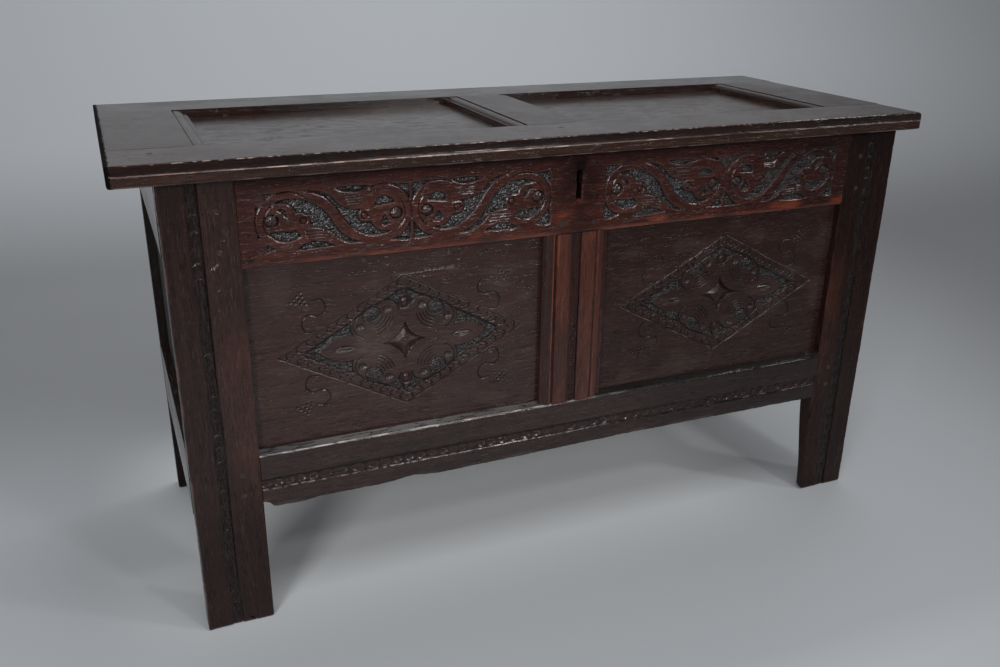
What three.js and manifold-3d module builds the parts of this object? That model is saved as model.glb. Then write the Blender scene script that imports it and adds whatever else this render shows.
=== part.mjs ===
// Joined oak coffer chest: four stile legs, pegged frame-and-panel walls, a boarded floor,
// a framed two-panel lid on wire snipe hinges, and an iron box lock behind the keyhole.
// Millimetres, +Z up, +X to the right and +Y to the back as the front is looked at.
import * as THREE from 'three';
import { mergeVertices } from 'three/addons/utils/BufferGeometryUtils.js';
import Module from 'manifold-3d';

const wasm = await Module();
wasm.setup();

// Carcase
const carcaseWidth = 1170;
const carcaseDepth = 460;
const carcaseHeight = 671.5;
const fitClearance = 0.3;
const cutOverrun = 6;

// Stiles, rails and muntins of the carcase
const stileWidth = 95.5;
const stileThickness = 30;
const railThickness = 26;
const muntinThickness = 24;
const footWear = 4;
const frontTopRailHeight = 121.5;
const frontBottomRailBase = 190;
const frontBottomRailArris = 83.7;
const chamferRise = 7;
const chamferLand = 2;
const chamferStopInset = 9;
const chamferStopRun = 16;
const plainTopRailHeight = 103.5;
const plainBottomRailTop = 288;
const sideBottomRailHeight = 104;
const frontMuntinLeftOfMiddle = 2.7;
const frontMuntinFlat = 64;
const backMuntinWidth = 90;

// Scratched channels that the gouge marks follow
const channelWidth = 15;
const channelDepth = 1.6;
const channelSlope = 1.5;
const leftStileChannelAt = 42;
const rightStileChannelAt = 48;
const bottomRailChannelAt = 228;

// Run moulding of the muntins and of the lid's cross members
const mouldingWidth = 21;
const quirkWidth = 2.4;
const quirkDepth = 2.2;
const filletDrop = 0.9;
const upperFilletWidth = 4.6;
const lowerFilletWidth = 5;
const ovoloDrop = 3.7;
const ovoloSteps = 4;

// Panels and the grooves that hold them
const panelRecess = 13;
const panelThickness = 8;
const panelEdgeThickness = 5;
const panelFeather = 28;
const grooveDepth = 9;
const panelTongue = 7.5;

// Mortise and tenon joints and their drawbore pegs
const tenonSetback = 10;
const tenonThickness = 9;
const tenonShoulder = 10;
const tenonHaunch = 18;
const frontTenonLength = 48;
const sideTenonLength = 20;
const muntinTenonLength = 40;
const pegRadius = 4.2;
const pegSides = 8;
const pegTaperShare = 0.86;
const pegInset = 25.7;
const pegEdgeInset = 25;
const muntinPegSpread = 27;
const muntinPegInset = 15;

// Floor boards, let into the front rail and nailed up under the back rail
const floorThickness = 12;
const floorBase = 205.7;
const floorGrooveDepth = 8;
const floorBackInset = 2;
const floorWidthShares = [0.21, 0.19, 0.2, 0.22, 0.18];

// Lid
const lidThickness = 27.2;
const lidLeftOverhang = 53.2;
const lidRightOverhang = 24;
const lidFrontOverhang = 25.5;
const lidBackOverhang = 5.8;
const lidFrontRailWidth = 99.1;
const lidBackRailWidth = 91.5;
const lidLeftStileWidth = 110.8;
const lidRightStileWidth = 112.2;
const lidRightStileShort = 4;
const lidMuntinRightOfMiddle = 0.55;
const lidMuntinWidth = 77.5;
const lidRecess = 12.5;
const lidPanelThickness = 9;
const lidTenonLength = 52;
const lidTenonSetback = 9;
const lidEdgeQuirkWidth = 0.8;
const lidEdgeQuirkDepth = 1.5;
const lidCoveRun = 1.6;
const lidCoveBase = 14.2;
const lidCoveSteps = 4;
const lidNosing = 1;
const lidPegInset = 30;

// Wire snipe hinges: an eye on the lid linked through an eye on the carcase
const hingeInsets = [190, 235];
const wireRadius = 1.7;
const wireSides = 8;
const eyeRadius = 5;
const eyeSegments = 16;
const eyeStandoff = 0.6;
const snipeLegSpread = 1.5;
const snipeBend = 3;
const snipeSteps = 18;
const clenchLength = 11;
const lidClenchInset = 24;
const carcaseLegAngle = 40 * Math.PI / 180;

// Keyhole and lock
const keyholeLeftOfMiddle = 2.5;
const keyholeWidth = 7;
const keyholeBelowTop = 28.5;
const keyholeHeight = 43;
const keyholeSteps = 6;
const lockWidth = 140;
const lockBelowTop = 7.5;
const lockBelowKeyhole = 12;
const lockDepth = 30;
const stapleOffset = 45;
const stapleWellWidth = 20;
const stapleWidth = 16;
const stapleClearance = 3;
const stapleHole = 8;
const stapleHoleHeadroom = 3;
const stapleBar = 5;
const staplePlateWidth = 50;
const staplePlateDepth = 36;
const staplePlateThickness = 2.5;
const staplePlateInset = 1.2;
const boltLength = 84;
const boltHeight = 9;
const boltThickness = 5;
const boltTipGap = 14;
const boltThrow = 24;
const stapleUnderBolt = 3.5;
const boltFromPlate = 12.5;
const boltBelowRim = 19;
const keyChamberHalfWidth = 18;

// Colours and sheen, as seen in the photograph
const finishes = {
  carcase: { color: 0x3a2520, roughness: 0.45, metalness: 0 },
  frieze: { color: 0x56291d, roughness: 0.42, metalness: 0 },
  panel: { color: 0x3d302c, roughness: 0.5, metalness: 0 },
  lid: { color: 0x3b2a24, roughness: 0.3, metalness: 0 },
  plain: { color: 0x4a382c, roughness: 0.75, metalness: 0 },
  floor: { color: 0x6a5140, roughness: 0.85, metalness: 0 },
  peg: { color: 0x2c1c17, roughness: 0.5, metalness: 0 },
  iron: { color: 0x2b2826, roughness: 0.55, metalness: 0.8 },
};

// Heights and bands that several pieces share
const frontTopRailBase = carcaseHeight - frontTopRailHeight;
const frontBottomRailFace = frontBottomRailBase + frontBottomRailArris;
const frontBottomRailTop = frontBottomRailFace + chamferRise;
const plainTopRailBase = carcaseHeight - plainTopRailHeight;
const backBottomRailBase = floorBase + floorThickness + fitClearance;
const sideBottomRailBase = plainBottomRailTop - sideBottomRailHeight;
const frontMuntinCentre = carcaseWidth / 2 - frontMuntinLeftOfMiddle;
const keyholeAt = carcaseWidth / 2 - keyholeLeftOfMiddle;
const keyholeBase = carcaseHeight - keyholeBelowTop - keyholeHeight;
const lidBase = carcaseHeight + fitClearance;
const lidWidth = lidLeftOverhang + carcaseWidth + lidRightOverhang;
const lidDepth = lidFrontOverhang + carcaseDepth + lidBackOverhang;
const lidPanelTop = lidThickness - lidRecess;
const eyeOuterRadius = eyeRadius + wireRadius;
const pivotY = carcaseDepth + lidBackOverhang + eyeStandoff + eyeOuterRadius;
const tenonBand = [tenonSetback, tenonSetback + tenonThickness];
const grooveBand = [panelRecess - fitClearance, panelRecess + panelEdgeThickness + fitClearance];
const chamferRun = panelRecess - chamferLand;

const grown = ([low, high], by) => [low - by, high + by];
const reversed = ([low, high], about) => [about - high, about - low];

// Solids from three.js geometry, and their cuts and joins
function solid(geometry) {
  geometry.deleteAttribute('normal');
  geometry.deleteAttribute('uv');
  const merged = mergeVertices(geometry);
  const vertProperties = merged.attributes.position.array;
  const triVerts = Uint32Array.from(merged.index.array);
  return new wasm.Manifold(new wasm.Mesh({ numProp: 3, vertProperties, triVerts }));
}

const join = (...bodies) => bodies.reduce((whole, body) => whole.add(body));
const cut = (body, ...tools) => tools.reduce((left, tool) => left.subtract(tool), body);

function box([x0, x1], [y0, y1], [z0, z1]) {
  const block = new THREE.BoxGeometry(x1 - x0, y1 - y0, z1 - z0);
  return solid(block.translate((x0 + x1) / 2, (y0 + y1) / 2, (z0 + z1) / 2));
}

function extrusion(outline, depth) {
  const shape = new THREE.Shape(outline.map(([a, b]) => new THREE.Vector2(a, b)));
  return new THREE.ExtrudeGeometry(shape, { depth, bevelEnabled: false });
}

// An outline of [y, z] points carried along X
function alongX(outline, [low, high]) {
  const turn = new THREE.Matrix4().makeBasis(
    new THREE.Vector3(0, 1, 0), new THREE.Vector3(0, 0, 1), new THREE.Vector3(1, 0, 0));
  return solid(extrusion(outline, high - low).applyMatrix4(turn).translate(low, 0, 0));
}

// An outline of [x, z] points carried along Y
function alongY(outline, [low, high]) {
  return solid(extrusion(outline, high - low).rotateX(Math.PI / 2).translate(0, high, 0));
}

// An outline of [x, y] points carried along Z
function alongZ(outline, [low, high]) {
  return solid(extrusion(outline, high - low).translate(0, 0, low));
}

// Skin over sections of equal point counts, each turning anticlockwise about the way they advance
function lofted(sections) {
  const count = sections[0].length;
  const last = (sections.length - 1) * count;
  const index = [];
  for (let s = 0; s < last; s += count) {
    for (let k = 0; k < count; k += 1) {
      const next = (k + 1) % count;
      index.push(s + k, s + next, s + count + next, s + k, s + count + next, s + count + k);
    }
  }
  for (let k = 1; k + 1 < count; k += 1) {
    index.push(0, k + 1, k, last, last + k, last + k + 1);
  }
  const geometry = new THREE.BufferGeometry().setFromPoints(sections.flat());
  return geometry.setIndex(index);
}

function piece(name, body, finish) {
  const { vertProperties, triVerts } = body.getMesh();
  const geometry = new THREE.BufferGeometry();
  geometry.setAttribute('position', new THREE.BufferAttribute(vertProperties, 3));
  geometry.setIndex(new THREE.BufferAttribute(triVerts, 1));
  geometry.computeVertexNormals();
  const mesh = new THREE.Mesh(geometry, new THREE.MeshStandardMaterial(finish));
  mesh.name = name;
  return mesh;
}

// Moulding on an edge, as [run from the flat, drop below it]: quirk, fillet, ovolo, lower fillet
function mouldingProfile() {
  const ovoloStart = quirkWidth + upperFilletWidth;
  const ovoloWidth = mouldingWidth - ovoloStart - lowerFilletWidth;
  const points = [[0, 0], [0, quirkDepth], [quirkWidth, quirkDepth], [quirkWidth, filletDrop]];
  for (let i = 0; i <= ovoloSteps; i += 1) {
    const turn = (i / ovoloSteps) * (Math.PI / 2);
    points.push([ovoloStart + ovoloWidth * Math.sin(turn), filletDrop + ovoloDrop * (1 - Math.cos(turn))]);
  }
  points.push([mouldingWidth, filletDrop + ovoloDrop]);
  return points;
}

// Shallow channel with sloping sides, as [place across, depth]
function channelOutline(centre) {
  const [low, high] = [centre - channelWidth / 2, centre + channelWidth / 2];
  return [[low, 0], [low + channelSlope, channelDepth], [high - channelSlope, channelDepth], [high, 0]];
}

// Section of a framing member, as [place across, depth from its face]
function memberOutline({ low, high, thickness, mouldLow, mouldHigh, channelAt }) {
  const profile = mouldingProfile();
  const start = mouldLow ? profile.map(([run, drop]) => [low - run, drop]).reverse() : [[low, 0]];
  const end = mouldHigh ? profile.map(([run, drop]) => [high + run, drop]) : [[high, 0]];
  const channel = channelAt ? channelOutline(channelAt) : [];
  return [[start[0][0], thickness], ...start, ...channel, ...end, [end[end.length - 1][0], thickness]];
}

// Drawbore pegs: tapered, eight-sided, driven from the face side, and the bores they fill
function pegShape([x, y, z], length, radius, endShare, driven) {
  const ring = (along, share) => Array.from({ length: pegSides }, (_, k) => {
    const turn = ((k + 0.5) / pegSides) * 2 * Math.PI;
    const [a, b] = [radius * share * Math.cos(turn), radius * share * Math.sin(turn)];
    const [dy, dz] = driven === 'back' ? [along, a] : [a, -along];
    return new THREE.Vector3(x + b, y + dy, z + dz);
  });
  return solid(lofted([ring(0, 1), ring(length, endShare)]));
}

function pegBore(at, length, driven) {
  const start = driven === 'back' ? [at[0], at[1] - cutOverrun, at[2]] : [at[0], at[1], at[2] + cutOverrun];
  return pegShape(start, length + 2 * cutOverrun, pegRadius + fitClearance, 1, driven);
}

const frontPegs = [];
for (const side of ['left', 'right']) {
  const x = side === 'left' ? stileWidth - pegInset : carcaseWidth - stileWidth + pegInset;
  const joints = {
    top_rail: [carcaseHeight - tenonHaunch - pegEdgeInset, frontTopRailBase + pegEdgeInset],
    bottom_rail: [frontBottomRailFace - pegEdgeInset, frontBottomRailBase + pegEdgeInset],
  };
  for (const [rail, heights] of Object.entries(joints)) {
    heights.forEach((z, k) => frontPegs.push({
      name: `peg_${rail}_${side}_${['upper', 'lower'][k]}`,
      at: [x, 0, z],
      length: stileThickness,
    }));
  }
  const muntinX = frontMuntinCentre + (side === 'left' ? -muntinPegSpread : muntinPegSpread);
  frontPegs.push({
    name: `peg_muntin_top_${side}`,
    at: [muntinX, 0, frontTopRailBase + muntinPegInset],
    length: railThickness,
  }, {
    name: `peg_muntin_bottom_${side}`,
    at: [muntinX, 0, frontBottomRailFace - muntinPegInset],
    length: railThickness,
  });
}
const frontPegBores = frontPegs.map(({ at, length }) => pegBore(at, length, 'back'));

// Corner stile of the front or back wall, as seen from outside, drawn for the left corner
function stile({ topRailBase, bottomRailTenon, panelBase, channelAt, mirrored }) {
  const flip = (band) => (mirrored ? reversed(band, carcaseWidth) : band);
  const outline = memberOutline({ low: 0, high: stileWidth, thickness: stileThickness, channelAt });
  const placed = mirrored ? outline.map(([x, y]) => [carcaseWidth - x, y]) : outline;
  const body = alongZ(placed, [0, carcaseHeight]);
  const [left, right] = flip([0, stileWidth]);
  const rectangle = (inset, z) => [
    new THREE.Vector3(left + inset, inset, z), new THREE.Vector3(right - inset, inset, z),
    new THREE.Vector3(right - inset, stileThickness - inset, z),
    new THREE.Vector3(left + inset, stileThickness - inset, z),
  ];
  const envelope = lofted([rectangle(footWear, 0), rectangle(0, footWear), rectangle(0, carcaseHeight)]);
  const wallEdge = flip([stileWidth - frontTenonLength - fitClearance, stileWidth + cutOverrun]);
  const wallGroove = flip([stileWidth - grooveDepth, stileWidth + cutOverrun]);
  const sideEdge = [stileThickness - sideTenonLength - fitClearance, stileThickness + cutOverrun];
  const sideGroove = [stileThickness - grooveDepth, stileThickness + cutOverrun];
  const tenonSlot = grown(tenonBand, fitClearance);
  const topTenon = [topRailBase + tenonShoulder, carcaseHeight - tenonHaunch];
  const sideTop = [plainTopRailBase + tenonShoulder, carcaseHeight - tenonHaunch];
  const sideBottom = [sideBottomRailBase + tenonShoulder, plainBottomRailTop - tenonShoulder];
  const sidePanel = [plainBottomRailTop - grooveDepth, plainTopRailBase + grooveDepth];
  return cut(body.intersect(solid(envelope)),
    box(wallEdge, tenonSlot, grown(topTenon, fitClearance)),
    box(wallEdge, tenonSlot, grown(bottomRailTenon, fitClearance)),
    box(wallGroove, grooveBand, [panelBase - grooveDepth, topRailBase + grooveDepth]),
    box(flip(tenonSlot), sideEdge, grown(sideTop, fitClearance)),
    box(flip(tenonSlot), sideEdge, grown(sideBottom, fitClearance)),
    box(flip(grooveBand), sideGroove, sidePanel));
}

// Rail of any wall, as seen from outside: tenons at both ends and panel grooves in its edges
function rail({ span, base, top, tenonLength, tenonHeights, grooveUnder, grooveOver }) {
  const body = box(span, [0, railThickness], [base, top]);
  const tenons = box(grown(span, tenonLength), tenonBand, tenonHeights);
  const along = grown(span, cutOverrun);
  const grooves = [];
  if (grooveUnder) grooves.push(box(along, grooveBand, [base - cutOverrun, base + grooveDepth]));
  if (grooveOver) grooves.push(box(along, grooveBand, [top - grooveDepth, top + cutOverrun]));
  return cut(join(body, tenons), ...grooves);
}

const wallSpan = grown([stileWidth, carcaseWidth - stileWidth], -fitClearance);
const sideSpan = grown([stileThickness, carcaseDepth - stileThickness], -fitClearance);
const frontMuntinFace = [frontMuntinCentre - frontMuntinFlat / 2, frontMuntinCentre + frontMuntinFlat / 2];
const frontMuntinEdges = grown(frontMuntinFace, mouldingWidth);
const backMuntinEdges = [carcaseWidth / 2 - backMuntinWidth / 2, carcaseWidth / 2 + backMuntinWidth / 2];
const muntinTenonSpan = (edges) => grown(edges, -grooveDepth - fitClearance);

function muntinMortises(edges, topRailBase, bottomRailTop) {
  const across = grown(muntinTenonSpan(edges), fitClearance);
  const slot = grown(tenonBand, fitClearance);
  const reach = muntinTenonLength + fitClearance;
  return [
    box(across, slot, [topRailBase - cutOverrun, topRailBase + reach]),
    box(across, slot, [bottomRailTop - reach, bottomRailTop + cutOverrun]),
  ];
}

const frontMortises = muntinMortises(frontMuntinEdges, frontTopRailBase, frontBottomRailTop);
const backMortises = muntinMortises(backMuntinEdges, plainTopRailBase, plainBottomRailTop);

// Keyhole: an upright slot with a round head, right through
function keyholeCut(depthBand) {
  const half = keyholeWidth / 2;
  const headBase = keyholeBase + keyholeHeight - half;
  const outline = [[keyholeAt - half, keyholeBase], [keyholeAt + half, keyholeBase]];
  for (let i = 0; i <= keyholeSteps; i += 1) {
    const turn = (i / keyholeSteps) * Math.PI;
    outline.push([keyholeAt + half * Math.cos(turn), headBase + half * Math.sin(turn)]);
  }
  return alongY(outline, depthBand);
}

function frontTopRail() {
  const plain = rail({
    span: wallSpan, base: frontTopRailBase, top: carcaseHeight, tenonLength: frontTenonLength,
    tenonHeights: [frontTopRailBase + tenonShoulder, carcaseHeight - tenonHaunch], grooveUnder: true,
  });
  const keyhole = keyholeCut(grown([0, railThickness], cutOverrun));
  return cut(plain, keyhole, ...frontMortises, ...frontPegBores);
}

// Splayed chamfer along the bottom rail's upper edge, dying out in a stop before the right stile
function bottomRailChamfer() {
  const slope = chamferRise / chamferRun;
  const triangle = (x, share) => {
    const [y0, y1] = [chamferRun - chamferRun * share - cutOverrun * share, chamferRun];
    const z0 = frontBottomRailTop + (y0 - chamferRun) * slope;
    const z1 = frontBottomRailTop + cutOverrun;
    return [new THREE.Vector3(x, y0, z0), new THREE.Vector3(x, y1, frontBottomRailTop),
      new THREE.Vector3(x, y1, z1), new THREE.Vector3(x, y0, z1)];
  };
  const stopShare = 0.05;
  const stopAt = wallSpan[1] - chamferStopInset;
  return solid(lofted([triangle(wallSpan[0] - cutOverrun, 1), triangle(stopAt - chamferStopRun, 1),
    triangle(stopAt, stopShare)]));
}

const bottomTenon = [frontBottomRailBase + tenonShoulder, frontBottomRailFace - tenonShoulder];

function frontBottomRail() {
  const plain = rail({
    span: wallSpan, base: frontBottomRailBase, top: frontBottomRailTop, tenonLength: frontTenonLength,
    tenonHeights: bottomTenon, grooveOver: true,
  });
  const channel = channelOutline(bottomRailChannelAt);
  const [low, high] = [channel[0], channel[channel.length - 1]];
  const outline = [[-cutOverrun, low[0]], ...channel.map(([z, depth]) => [depth, z]),
    [-cutOverrun, high[0]]];
  const floorGroove = box(grown(wallSpan, cutOverrun),
    [railThickness - floorGrooveDepth, railThickness + cutOverrun],
    grown([floorBase, floorBase + floorThickness], fitClearance));
  return cut(plain, bottomRailChamfer(), alongX(outline, grown(wallSpan, cutOverrun)),
    floorGroove, ...frontMortises, ...frontPegBores);
}

// Front muntin: moulded both sides, its shoulder scribed over the bottom rail's chamfer
function frontMuntin() {
  const [low, high] = frontMuntinFace;
  const outline = memberOutline({
    low, high, thickness: muntinThickness, mouldLow: true, mouldHigh: true, channelAt: frontMuntinCentre,
  });
  const body = alongZ(outline, [frontBottomRailFace + fitClearance, frontTopRailBase - fitClearance]);
  const [arris, rise] = [frontBottomRailFace + fitClearance, frontBottomRailTop + fitClearance];
  const scribe = alongX([[-cutOverrun, frontBottomRailBase], [-cutOverrun, arris], [0, arris],
    [chamferRun, rise], [muntinThickness + cutOverrun, rise],
    [muntinThickness + cutOverrun, frontBottomRailBase]], grown(frontMuntinEdges, cutOverrun));
  const tenons = box(muntinTenonSpan(frontMuntinEdges), tenonBand,
    [frontBottomRailTop - muntinTenonLength, frontTopRailBase + muntinTenonLength]);
  const grooves = muntinGrooves(frontMuntinEdges, [frontBottomRailTop, frontTopRailBase]);
  return cut(join(cut(body, scribe), tenons), ...grooves, ...frontPegBores);
}

function muntinGrooves([low, high], heights) {
  return [
    box([low - cutOverrun, low + grooveDepth], grooveBand, heights),
    box([high - grooveDepth, high + cutOverrun], grooveBand, heights),
  ];
}

function backMuntin() {
  const heights = [plainBottomRailTop, plainTopRailBase];
  const body = box(backMuntinEdges, [0, muntinThickness], grown(heights, -fitClearance));
  const tenons = box(muntinTenonSpan(backMuntinEdges), tenonBand, grown(heights, muntinTenonLength));
  return cut(join(body, tenons), ...muntinGrooves(backMuntinEdges, heights));
}

// Panel with a flat face and edges feathered from behind, its face at z = 0 and its back above
function panelMesh(name, width, height, thickness, finish) {
  const section = (inset, z) => [[-1, -1], [1, -1], [1, 1], [-1, 1]].map(([a, b]) => (
    new THREE.Vector3(a * (width / 2 - inset), b * (height / 2 - inset), z)));
  const body = solid(lofted([section(0, 0), section(0, panelEdgeThickness),
    section(panelTongue, panelEdgeThickness), section(panelFeather, thickness)]));
  return piece(name, body, finish);
}

// Upright panel in the wall opening between two edges, as seen from outside
function wallPanel(name, [left, right], [low, high], finish) {
  const [width, height] = [right - left + 2 * panelTongue, high - low + 2 * panelTongue];
  const mesh = panelMesh(name, width, height, panelThickness, finish);
  mesh.rotation.x = -Math.PI / 2;
  mesh.position.set((left + right) / 2, panelRecess, (low + high) / 2);
  return mesh;
}

function frontWall() {
  const wall = new THREE.Group();
  const stileSizes = {
    topRailBase: frontTopRailBase, bottomRailTenon: bottomTenon, panelBase: frontBottomRailTop,
  };
  const heights = [frontBottomRailTop, frontTopRailBase];
  wall.add(
    piece('front_left_stile',
      cut(stile({ ...stileSizes, channelAt: leftStileChannelAt }), ...frontPegBores), finishes.carcase),
    piece('front_right_stile',
      cut(stile({ ...stileSizes, channelAt: rightStileChannelAt, mirrored: true }), ...frontPegBores),
      finishes.carcase),
    piece('front_top_rail', frontTopRail(), finishes.frieze),
    piece('front_bottom_rail', frontBottomRail(), finishes.carcase),
    piece('front_muntin', frontMuntin(), finishes.frieze),
    wallPanel('front_left_panel', [stileWidth, frontMuntinEdges[0]], heights, finishes.panel),
    wallPanel('front_right_panel', [frontMuntinEdges[1], carcaseWidth - stileWidth], heights,
      finishes.panel));
  for (const { name, at, length } of frontPegs) {
    wall.add(piece(name, pegShape(at, length, pegRadius, pegTaperShare, 'back'), finishes.peg));
  }
  return wall;
}

// Back wall, drawn as seen from behind and turned to face the back
function backWall() {
  const wall = new THREE.Group();
  const railTenon = [backBottomRailBase + tenonShoulder, plainBottomRailTop - tenonShoulder];
  const stileSizes = {
    topRailBase: plainTopRailBase, bottomRailTenon: railTenon, panelBase: plainBottomRailTop,
  };
  const heights = [plainBottomRailTop, plainTopRailBase];
  const topRail = rail({
    span: wallSpan, base: plainTopRailBase, top: carcaseHeight, tenonLength: frontTenonLength,
    tenonHeights: [plainTopRailBase + tenonShoulder, carcaseHeight - tenonHaunch], grooveUnder: true,
  });
  const bottomRail = rail({
    span: wallSpan, base: backBottomRailBase, top: plainBottomRailTop, tenonLength: frontTenonLength,
    tenonHeights: railTenon, grooveOver: true,
  });
  const hingeBores = hingeInsets.map((_, k) => carcaseSnipe(carcaseWidth - hingeAt(k), 0, fitClearance, -1));
  wall.add(
    piece('back_right_stile', stile(stileSizes), finishes.plain),
    piece('back_left_stile', stile({ ...stileSizes, mirrored: true }), finishes.plain),
    piece('back_top_rail', cut(topRail, ...backMortises, ...hingeBores), finishes.plain),
    piece('back_bottom_rail', cut(bottomRail, ...backMortises), finishes.plain),
    piece('back_muntin', backMuntin(), finishes.plain),
    wallPanel('back_right_panel', [stileWidth, backMuntinEdges[0]], heights, finishes.plain),
    wallPanel('back_left_panel', [backMuntinEdges[1], carcaseWidth - stileWidth], heights, finishes.plain));
  wall.rotation.z = Math.PI;
  wall.position.set(carcaseWidth, carcaseDepth, 0);
  return wall;
}

// End wall of two rails and one panel, drawn as seen from outside
function endWall(side) {
  const wall = new THREE.Group();
  const heights = [plainBottomRailTop, plainTopRailBase];
  const topRail = rail({
    span: sideSpan, base: plainTopRailBase, top: carcaseHeight, tenonLength: sideTenonLength,
    tenonHeights: [plainTopRailBase + tenonShoulder, carcaseHeight - tenonHaunch], grooveUnder: true,
  });
  const bottomRail = rail({
    span: sideSpan, base: sideBottomRailBase, top: plainBottomRailTop, tenonLength: sideTenonLength,
    tenonHeights: [sideBottomRailBase + tenonShoulder, plainBottomRailTop - tenonShoulder], grooveOver: true,
  });
  wall.add(
    piece(`${side}_end_top_rail`, topRail, finishes.carcase),
    piece(`${side}_end_bottom_rail`, bottomRail, finishes.carcase),
    wallPanel(`${side}_end_panel`, [stileThickness, carcaseDepth - stileThickness], heights, finishes.panel));
  wall.rotation.z = side === 'left' ? -Math.PI / 2 : Math.PI / 2;
  wall.position.set(side === 'left' ? 0 : carcaseWidth, side === 'left' ? carcaseDepth : 0, 0);
  return wall;
}

// Floor boards run from front to back; the outer two are notched round the stiles
function floorBoards() {
  const floor = new THREE.Group();
  const [left, right] = grown([railThickness, carcaseWidth - railThickness], -fitClearance);
  const [front, back] = [railThickness - floorGrooveDepth + fitClearance, carcaseDepth - floorBackInset];
  const notchDepths = [stileThickness + fitClearance, carcaseDepth - stileThickness - fitClearance];
  let start = left;
  floorWidthShares.forEach((share, k) => {
    const end = start + share * (right - left);
    const board = box([start, end - fitClearance], [front, back], [floorBase, floorBase + floorThickness]);
    const heights = grown([floorBase, floorBase + floorThickness], cutOverrun);
    const cornerSpans = [[left - cutOverrun, stileWidth + fitClearance],
      [carcaseWidth - stileWidth - fitClearance, right + cutOverrun]];
    const notches = cornerSpans.flatMap((span) => [
      box(span, [front - cutOverrun, notchDepths[0]], heights),
      box(span, [notchDepths[1], back + cutOverrun], heights),
    ]);
    floor.add(piece(`floor_board_${k + 1}`, cut(board, ...notches), finishes.floor));
    start = end;
  });
  return floor;
}

// Snipe hinges: doubled wire bent to an eye, its legs driven through the oak and clenched apart
const hingeAt = (k) => (k === 0 ? hingeInsets[0] : carcaseWidth - hingeInsets[1]);

function wireLeg(points, radius) {
  const circle = Array.from({ length: wireSides }, (_, k) => {
    const turn = (k / wireSides) * 2 * Math.PI;
    return new THREE.Vector2(radius * Math.cos(turn), radius * Math.sin(turn));
  });
  const [start, corner, tip] = points;
  const before = corner.clone().lerp(start, snipeBend / corner.distanceTo(start));
  const after = corner.clone().lerp(tip, snipeBend / corner.distanceTo(tip));
  const path = new THREE.CurvePath();
  path.add(new THREE.LineCurve3(start, before));
  path.add(new THREE.QuadraticBezierCurve3(before, corner, after));
  path.add(new THREE.LineCurve3(after, tip));
  const settings = { steps: snipeSteps, extrudePath: path, bevelEnabled: false };
  return solid(new THREE.ExtrudeGeometry(new THREE.Shape(circle), settings));
}

function eye(centre, normal, radius) {
  const ring = new THREE.TorusGeometry(eyeRadius, radius, wireSides, eyeSegments);
  const turn = new THREE.Quaternion().setFromUnitVectors(new THREE.Vector3(0, 0, 1), normal);
  return solid(ring.applyQuaternion(turn).translate(centre.x, centre.y, centre.z));
}

// Two legs side by side from an eye, through the oak to its far face, then clenched apart along X
function snipeLegs(x, from, to, radius) {
  return [-1, 1].map((side) => {
    const offset = side * snipeLegSpread;
    const start = new THREE.Vector3(x + offset, from[0], from[1]);
    const corner = new THREE.Vector3(x + offset, to[0], to[1]);
    return wireLeg([start, corner, corner.clone().add(new THREE.Vector3(side * clenchLength, 0, 0))], radius);
  });
}

// Lid eye in the lid's own frame, turning about the pivot line, its ends sunk flush in the top
function lidSnipe(x, extra) {
  const radius = wireRadius + extra;
  const pivot = [lidDepth + eyeStandoff + eyeOuterRadius, carcaseHeight - lidBase];
  const top = [lidDepth - lidClenchInset, lidThickness - wireRadius];
  const reach = Math.hypot(top[0] - pivot[0], top[1] - pivot[1]);
  const start = [pivot[0] + (top[0] - pivot[0]) * (eyeRadius / reach),
    pivot[1] + (top[1] - pivot[1]) * (eyeRadius / reach)];
  const ring = eye(new THREE.Vector3(x, pivot[0], pivot[1]), new THREE.Vector3(1, 0, 0), radius);
  return join(ring, ...snipeLegs(x, start, top, radius));
}

// Carcase eye, linked through the lid eye; `outward` is the way the back faces in the frame used
function carcaseSnipe(x, backFace, extra, outward) {
  const radius = wireRadius + extra;
  const pivotOut = pivotY - carcaseDepth;
  const slopeDown = Math.tan(carcaseLegAngle);
  const place = (out, down) => [backFace + outward * out, carcaseHeight - down];
  const along = (distance) => place(pivotOut - distance * Math.cos(carcaseLegAngle),
    distance * Math.sin(carcaseLegAngle));
  const inner = pivotOut + railThickness + wireRadius + fitClearance;
  const [centre, start] = [along(eyeRadius), along(2 * eyeRadius)];
  const end = place(pivotOut - inner, inner * slopeDown);
  const normal = new THREE.Vector3(0, Math.sin(carcaseLegAngle), -outward * Math.cos(carcaseLegAngle));
  const ring = eye(new THREE.Vector3(x, centre[0], centre[1]), normal, radius);
  return join(ring, ...snipeLegs(x, start, end, radius));
}

// Lock: an iron case on the rail's inner face, with passages for its bolt, key and staple
const lockFace = railThickness + fitClearance;
const lockSpan = [keyholeAt - lockWidth / 2, keyholeAt + lockWidth / 2];
const lockBase = keyholeBase - lockBelowKeyhole;
const lockRim = carcaseHeight - lockBelowTop;
const stapleAt = keyholeAt - stapleOffset;
const boltSpan = [stapleAt + boltTipGap, stapleAt + boltTipGap + boltLength];
const boltBand = [lockFace + boltFromPlate, lockFace + boltFromPlate + boltThickness];
const boltHeights = [lockRim - boltBelowRim - boltHeight, lockRim - boltBelowRim];
const boltCentreY = (boltBand[0] + boltBand[1]) / 2;
const stapleBand = [boltCentreY - stapleWidth / 2, boltCentreY + stapleWidth / 2];
const stapleHoleBase = boltHeights[0] - stapleUnderBolt;
const stapleBase = stapleHoleBase - stapleBar;

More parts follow.
